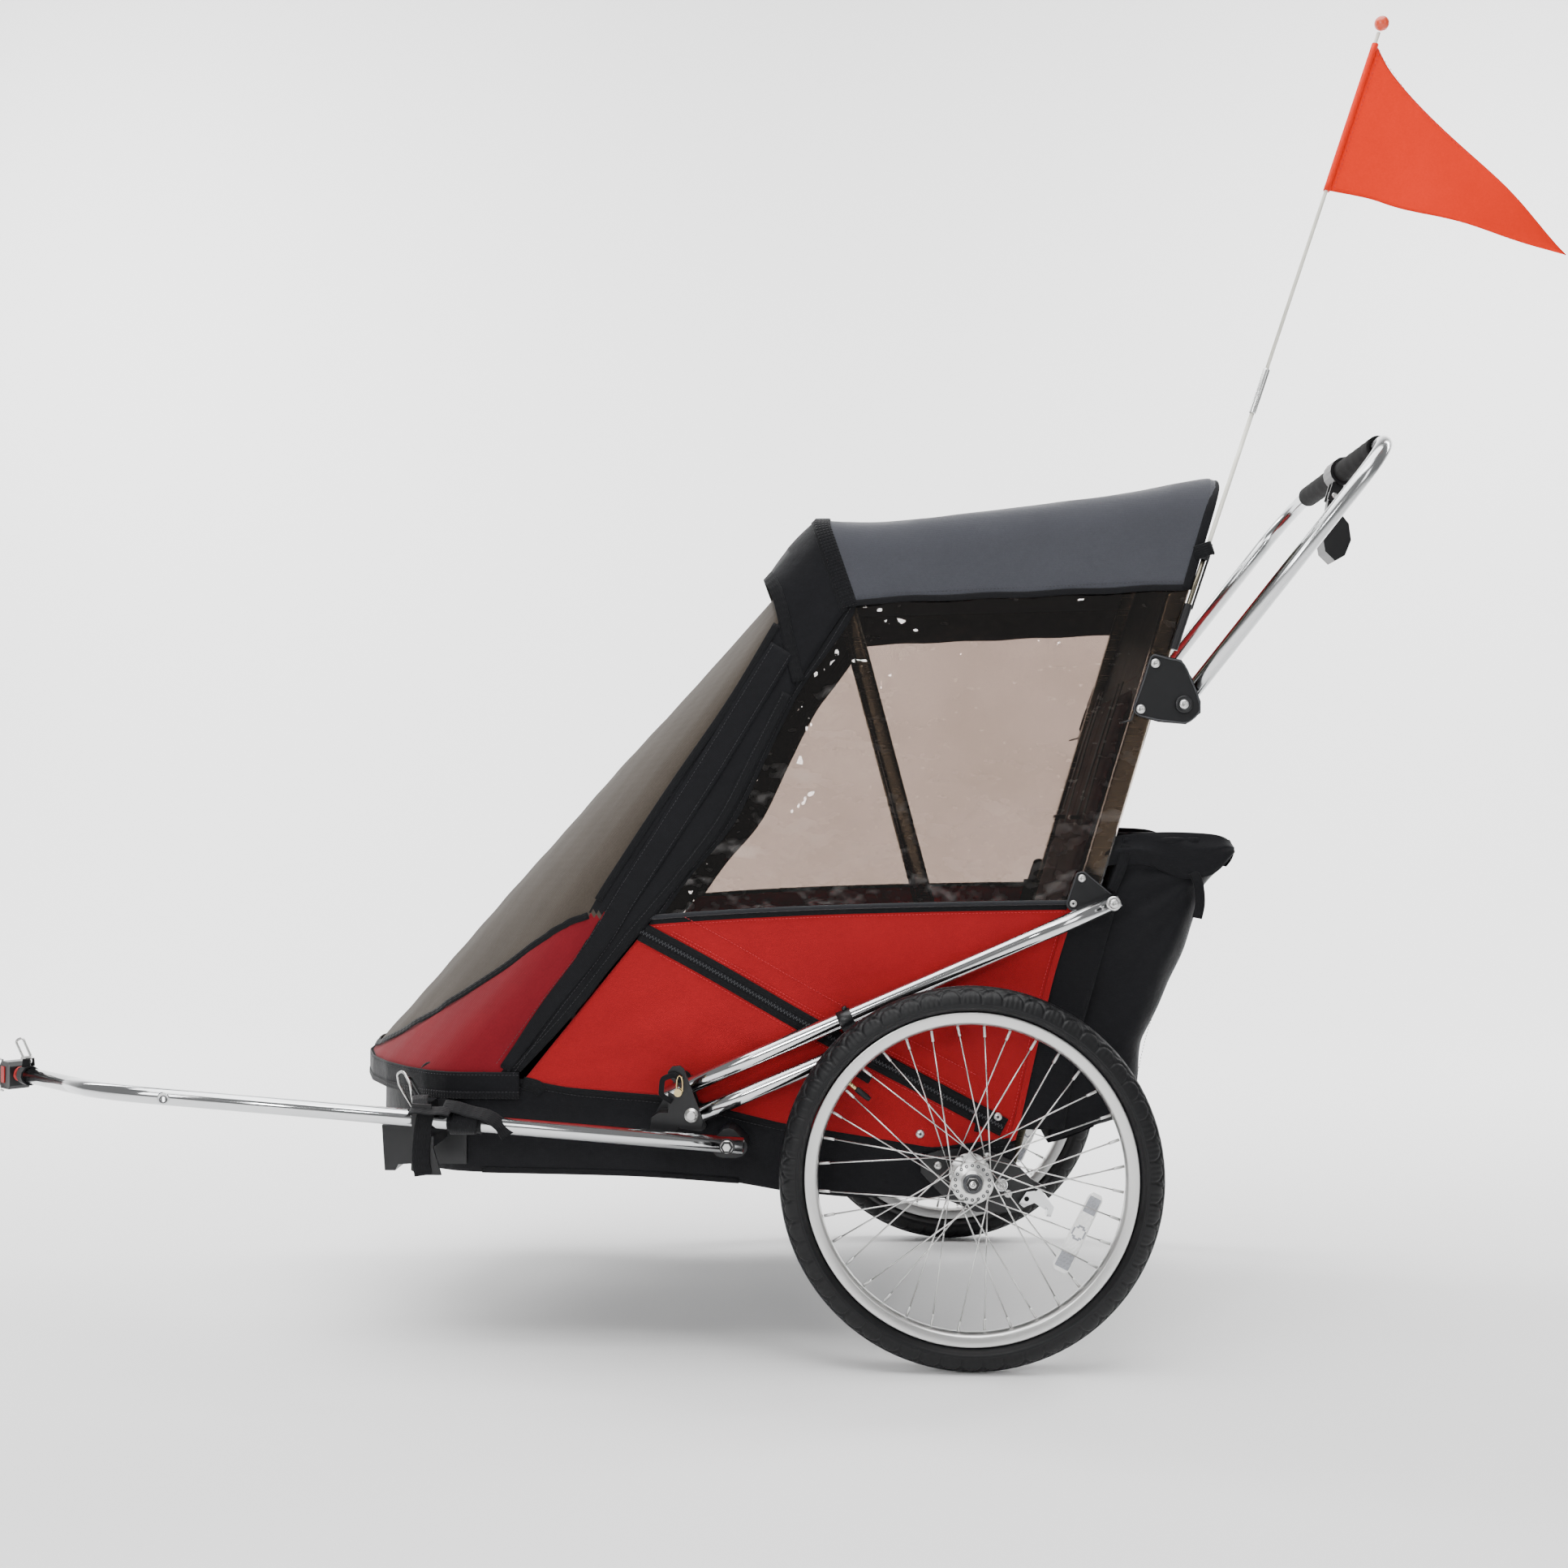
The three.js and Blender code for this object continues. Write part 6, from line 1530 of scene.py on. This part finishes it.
# hanging strap ends with their stitching, and a webbing seam band down the rear
for sg in (-1, 1):
    tr.append(band("hang", [(293, sg * 305, 632), (299, sg * 307.5, 616), (301, sg * 308, 594), (297, sg * 308, 572)], 13, 1.4, MAT["webbing"], normal=(0.1, sg, 0), n=30, wave_amp=0.8, wave_n=3))
    tr.append(band("hang2", [(206, sg * 305, 668), (200, sg * 306.6, 640), (186, sg * 307.2, 606)], 13, 1.2, MAT["webbing"], normal=(0, sg, 0), n=20))
    tr.append(stitches("bs", [(x, sg * 305.6, z) for x, z in ((214, 330), (222, 380), (238, 440), (272, 520), (300, 600))], MAT["thread_black"], out=(0, sg * 0.5, 0)))
tr.append(band("rearseam", [(float(rr[k][0]) + 3, 0, float(rr[k][1])) for k in range(4, 50, 4)], 18, 1.2, MAT["webbing"], normal=(0.94, 0, -0.3), n=50))
btrim = joined("cargo_bag_trim", tr)
finish_piece(btrim, "back_frame", "black_nylon")
finish_piece(bag, "back_frame", "black_nylon", ["cargo_bag"], sheet=dict(flat=(1.60, 0.52), held="hung", rests_on=["rear_hoop_bar"], area=0.80, with_pieces=[btrim]))

# ------------------------------------------------------------------ hardware: CAD pieces with their finishes, and small fittings on them
def dress(node, mat, width=0.0008, seg=2):
    o = N[node]
    o.data.materials.clear()
    o.data.materials.append(MAT[mat])
    if width:
        mod(o, "BEVEL", width=width, segments=seg, limit_method="ANGLE", angle_limit=math.radians(32))
    return o
for s in ("left", "right"):
    dress("axle_plate_" + s, "black", 0.0007)
    dress("strut_bracket_" + s, "black", 0.0009)
    dress("corner_block_" + s, "black", 0.0015)
    dress("handle_plate_" + s, "black", 0.0007)
    dress("strut_plate_" + s, "black", 0.0006)
    dress("lock_pin_" + s, "brass", 0.0004)
dress("base_frame", "alu", 0)
dress("tow_pivot_mount", "black", 0.001)
dress("tow_bar_cradle", "black", 0.0008)
dress("flag_socket", "black", 0.0004)
dress("lever_clamp", "black", 0.0006)
dress("hand_lever", "black", 0.004, 4)
dress("tow_strap", "webbing", 0.0003)
dress("safety_strap", "webbing", 0.0003)
dress("hitch_body", "black", 0.0018, 3)
dress("hitch_elastomer", "elastomer", 0.0015, 3)
dress("hitch_ring", "spoke", 0)
dress("snap_hook", "spoke", 0)
dress("brake_pedal", "alu", 0.0005)


def button_head(x, y, z, r=6.2, h=2.6, sg=-1):
    prof = [(0, 0), (r, 0), (r, 0.5), (r * 0.86, h * 0.72), (r * 0.55, h), (r * 0.36, h), (r * 0.34, h * 0.35), (0, h * 0.3)]
    return lathe("bh", [(a, sg * b) for a, b in prof], MAT["rim"], (x, y, z), n=24, closed=False)


def lip(outline, y, r=0.9, inset=2.0):
    c = np.mean(np.array(outline), axis=0)
    pts = [(x + (c[0] - x) * inset / max(1, math.hypot(c[0] - x, c[1] - z)), y, z + (c[1] - z) * inset / max(1, math.hypot(c[0] - x, c[1] - z))) for x, z in outline]
    pts = resample([np.array(p) for p in pts] + [np.array(pts[0])], 90, True)[:-1]
    return sweep("lip", pts, circle(r, 8), MAT["edge_black"], closed=True)


HO = [(242.7, 916.4), (260, 912), (276.6, 907.9), (285, 897), (290.4, 883.5), (297, 868), (301, 853.9), (302, 846), (301, 839), (292, 829), (281.9, 824.2), (264, 825.5), (247, 827.4), (232, 831), (220.5, 834.8), (214, 839), (213.1, 844.3), (214, 850), (216.2, 854.9), (226, 883), (236.4, 913.2)]
def handle_fit():
    p = [lip(HO, -317.4, 1.0, 2.4), button_head(242.5, -318.9, 903.5), button_head(223.5, -318.9, 844)]
    p.append(lathe("wash", [(6.2, 0), (11.2, 0), (11.4, -0.9), (10.6, -1.8), (6.2, -1.9)], MAT["black"], (279, -320.3, 850), n=32))
    p.append(button_head(279, -320.6, 850, 6.6, 3.0))
    return joined("hf", p)
both(handle_fit, "handle_plate_fittings_*", body="back_frame", slot="black_plastic")
TO = []
for k in range(20):
    a = 2 * math.pi * k / 20
    d = np.array([math.cos(a), math.sin(a)])
    best = max(([147, 624], [136, 591], [185, 592.5]), key=lambda c: c[0] * d[0] + c[1] * d[1])
    TO.append((best[0] + 8.6 * d[0], best[1] + 8.6 * d[1]))
def strut_fit():
    p = [lip(TO, -318.3, 0.7, 0.6), button_head(147, -318.8, 624, 5.2, 2.0), button_head(136, -318.2, 591, 4.6, 0.9)]
    p.append(button_head(185, -347.2, 592.5, 6.4, 2.8))
    p.append(lathe("w", [(4.2, 0), (9.4, 0), (9.4, -1.2), (4.2, -1.2)], MAT["rim"], (185, -341.6, 592.5), n=28))
    return joined("sf", p)
both(strut_fit, "strut_plate_fittings_*", body="back_frame", slot="black_plastic")
BO = [(-390, 374), (-384, 381), (-374, 382), (-369, 378), (-356, 345), (-344, 312), (-346, 304), (-356, 299), (-366, 300), (-378, 303), (-389, 306)]
def bracket_fit():
    p = []
    nut = [(6.6 * math.cos(math.radians(60 * k + 30)), 6.6 * math.sin(math.radians(60 * k + 30))) for k in range(6)]
    p.append(sweep("nut", [(-359, -354.2, 318), (-359, -357.6, 318), (-359, -358.2, 318)], nut, MAT["rim"], scale=[1, 1, 0.82]))
    p.append(lathe("w", [(0, 0), (9.2, 0), (9.2, -0.9), (0, -0.9)], MAT["rim"], (-359, -350.4, 318), n=28, closed=False))
    # soft loop that holds the pin's ring
    lp = rounded([(-384, -353, 336), (-398, -356, 345), (-396, -357, 366), (-380, -356, 372), (-372, -353, 362)], 7, 4)
    p.append(band("loop", lp, 7, 1.4, MAT["webbing"], normal=(0, -1, 0), n=40))
    return joined("bf", p)
both(bracket_fit, "strut_bracket_fittings_*", body="root", slot="black_plastic")

def axle_fit():
    p = []
    # lock nut, washer and axle end
    hexa = lambda r: [(r * math.cos(math.radians(60 * k)), r * math.sin(math.radians(60 * k))) for k in range(6)]
    p.append(lathe("aw", [(6, 0), (10.8, 0), (10.8, -1.2), (6, -1.2)], MAT["spoke"], (0, -411.2, 245), n=32))
    p.append(sweep("an", [(0, -412, 245), (0, -418, 245), (0, -418.4, 245)], hexa(8.9), MAT["rim"], scale=[1, 1, 0.86]))
    p.append(lathe("ae", [(0, -7.0), (4.0, -7.0), (4.8, -6.3), (4.8, 0), (0, 0)], MAT["spoke"], (0, -412, 245), n=24, closed=False))
    # collar where the stub meets the plate, plate screws, and the silver pressing behind
    p.append(lathe("ac", [(12.2, 0), (15, -0.6), (15.2, -5), (12.4, -6.5), (12.2, -6.5)], MAT["rim"], (0, -317.4, 245), n=40))
    for x, z in ((51, 214), (-40, 250), (24, 262)):
        p.append(button_head(x, -317.7, z, 5.4, 2.4))
    p.append(button_head(42, -321.2, 226, 7.0, 2.8))
    return joined("af", p)
both(axle_fit, "axle_fittings_*", body="root", slot="tube_alloy")

# chrome wire bail and long webbing at the front cradle, riding on the tow bar or the tub
wp = rounded([(-722, -352, 330), (-727, -350, 357), (-737, -344, 372), (-747, -338, 368), (-745, -334, 352), (-728, -332, 322)], 7, 5)
bail = sweep("bail_wire", wp, circle(1.7, 12), MAT["spoke"])
finish_piece(bail, "root", "tow_chrome")
cs = []
cs.append(band("wrap", [(-716, -395, zb(-700) + 14), (-690, -395, zb(-690) + 15), (-664, -394, zb(-664) + 14)], 24, 1.6, MAT["webbing"], normal=(0, -0.3, 1), n=24, wave_amp=1.0))
lo_ = []
for k in range(33):
    a = 2 * math.pi * k / 32
    lo_.append((-648 + 3 * math.sin(a), -WY + 14.2 * math.cos(a), zb(-648) + 14.2 * math.sin(a)))
nrm_ = [(0, math.cos(2 * math.pi * k / 32), math.sin(2 * math.pi * k / 32)) for k in range(33)]
cs.append(band("ring", lo_, 34, 1.5, MAT["webbing"], normal=np.array(nrm_), n=66, smooth=False))
cs.append(band("tail", [(-676, -WY - 6, zb(-676) + 19.5), (-652, -WY - 7, zb(-652) + 18), (-624, -WY - 9, zb(-624) + 13), (-600, -WY - 12, zb(-600) + 3), (-590, -WY - 13, zb(-590) - 10)], 22, 1.6, MAT["webbing"], normal=(0, -0.5, 0.85), n=40, wave_amp=1.2, wave_n=4))
strap = joined("cradle_webbing", cs)
finish_piece(strap, "tow_bar", "black_nylon")
# webbing that hangs from the cradle down the tub's side
fb = []
fb.append(band("down", [(-695, -393, 330), (-700, -394.5, 300), (-702, -394.5, 268), (-699, -393.5, 246)], 22, 1.5, MAT["webbing"], normal=(0, -1, 0), n=30, wave_amp=0.6))
fb.append(band("over", [(-712, -334, 337), (-712, -352, 341), (-708, -374, 340), (-703, -392, 330)], 20, 1.5, MAT["webbing"], normal=(0, -0.3, 1), n=26))
fb = joined("cradle_straps", fb)
finish_piece(fb, "root", "black_nylon")
# end bolt of the tow bar
eb = joined("tow_bolt", [button_head(-310, -391.4, 285, 8.4, 2.4), sweep("h", [(-310, -393, 285), (-310, -397, 285)], [(5.2 * math.cos(math.radians(60 * k)), 5.2 * math.sin(math.radians(60 * k))) for k in range(6)], MAT["rim"])])
finish_piece(eb, "root", "tube_alloy")
# neck of the hitch between bar and coupler, a ribbed red bush
e_ = np.array([-1346.0, -121.0, 333.0]); h_ = np.array([-1366.0, -104.0, 331.0]); d_ = (h_ - e_) / np.linalg.norm(h_ - e_)
neck = lathe_dir("hitch_bush", [(0, -6)] + [(9.6 + 1.1 * math.sin(k * 1.4), -5 + k * 0.55) for k in range(22)] + [(0, 7.4)], MAT["elastomer"], e_ + d_ * 6.0, d_, n=36, closed=False)
finish_piece(neck, slot="red_rubber", blend=("tow_bar", "hitch", P(*(e_ + d_ * 1.0)), P(*(e_ + d_ * 13.0))))
# flag holder loop on the canopy corner and handle lever boss
fl = joined("flag_holder_strap", [band("fh", [(fp(1044)[0] - 12, -317.4, 1047), (fp(1044)[0] - 5, -322.5, 1049), (fp(1044)[0] + 2, -325.2, 1051), (fp(1044)[0] + 8, -322.0, 1053), (fp(1044)[0] + 9, -314, 1053)], 18, 1.7, MAT["webbing"], normal=(0.2, -1, 0.1), n=30)])
finish_piece(fl, "back_frame", "black_nylon")
lb = joined("lever_boss", [button_head(548, -12.2, 1171, 4.4, 2.0), lathe("spring", [(2.6, -7), (4.4, -7), (4.4, -3), (2.6, -3)], MAT["spoke"], (548, -2.6, 1171), n=20)])
finish_piece(lb, "handle", "black_plastic")

# ------------------------------------------------------------------ floor, light and camera
me = bpy.data.meshes.new("studio_floor")
S = 14.0
pts, fcs = [], []
prof = [(-S, 0.0), (3.2, 0.0)] + [(3.2 + 1.6 * math.sin(a), 1.6 - 1.6 * math.cos(a)) for a in np.linspace(0.1, math.pi / 2, 14)] + [(4.8, 9.0)]
for y, z in prof:
    pts += [(-S, y, z), (S, y, z)]
for i in range(len(prof) - 1):
    fcs.append((2 * i, 2 * i + 1, 2 * i + 3, 2 * i + 2))
me.from_pydata(pts, [], fcs)
for p in me.polygons:
    p.use_smooth = True
fm, nt, b = new_mat("studio_paper")
b.inputs["Base Color"].default_value = (0.90, 0.90, 0.90, 1)
b.inputs["Roughness"].default_value = 0.9
me.materials.append(fm)
flo = bpy.data.objects.new("studio_floor", me)
flo.location.z = -0.0005
bpy.context.scene.collection.objects.link(flo)

world = bpy.data.worlds.new("studio")
bpy.context.scene.world = world
world.use_nodes = True
world.node_tree.nodes["Background"].inputs[0].default_value = (1, 1, 1, 1)
world.node_tree.nodes["Background"].inputs[1].default_value = 0.26


def area(name, loc, target, size, power, color=(1, 1, 1)):
    l = bpy.data.lights.new(name, "AREA")
    l.shape = "RECTANGLE"; l.size, l.size_y = size; l.energy = power; l.color = color
    o = bpy.data.objects.new(name, l)
    o.location = loc
    o.rotation_euler = (Vector(target) - Vector(loc)).to_track_quat("-Z", "Y").to_euler()
    bpy.context.scene.collection.objects.link(o)
area("top", (-0.2, -0.4, 4.6), (0, 0, 0), (5.0, 4.0), 300)
area("wall_left", (-3.4, 1.6, 3.2), (-1.6, 4.8, 1.6), (2.4, 2.4), 330)
area("wall_right", (3.4, 1.6, 3.2), (1.6, 4.8, 1.6), (2.4, 2.4), 330)
area("floor_front", (0, -2.0, 3.4), (0, -1.4, 0), (4.0, 1.0), 40)
area("key", (-2.2, -3.6, 2.4), (-0.2, 0, 0.6), (1.0, 1.8), 36)
area("fill", (2.9, -3.0, 1.9), (0.2, 0, 0.6), (0.9, 1.6), 16)
area("sparkle_a", (-0.62, -3.05, 1.42), (0.05, -0.31, 0.8), (0.34, 0.62), 17)
area("sparkle_b", (0.35, -3.0, 1.75), (0.15, -0.31, 0.85), (0.4, 0.16), 7)

cam = bpy.data.cameras.new("camera")
cam.sensor_width = 36
cam.lens = 2322.0 / 1932.0 * 36
co = bpy.data.objects.new("camera", cam)
psi, th = math.atan(107 / 2322), math.atan(31 / 2322)
fwd = Vector((-math.sin(psi) * math.cos(th), math.cos(psi) * math.cos(th), math.sin(th)))
co.location = Vector((SX - 0.127, -2.785, 0.714))
co.rotation_euler = fwd.to_track_quat("-Z", "Y").to_euler()
bpy.context.scene.collection.objects.link(co)
bpy.context.scene.camera = co
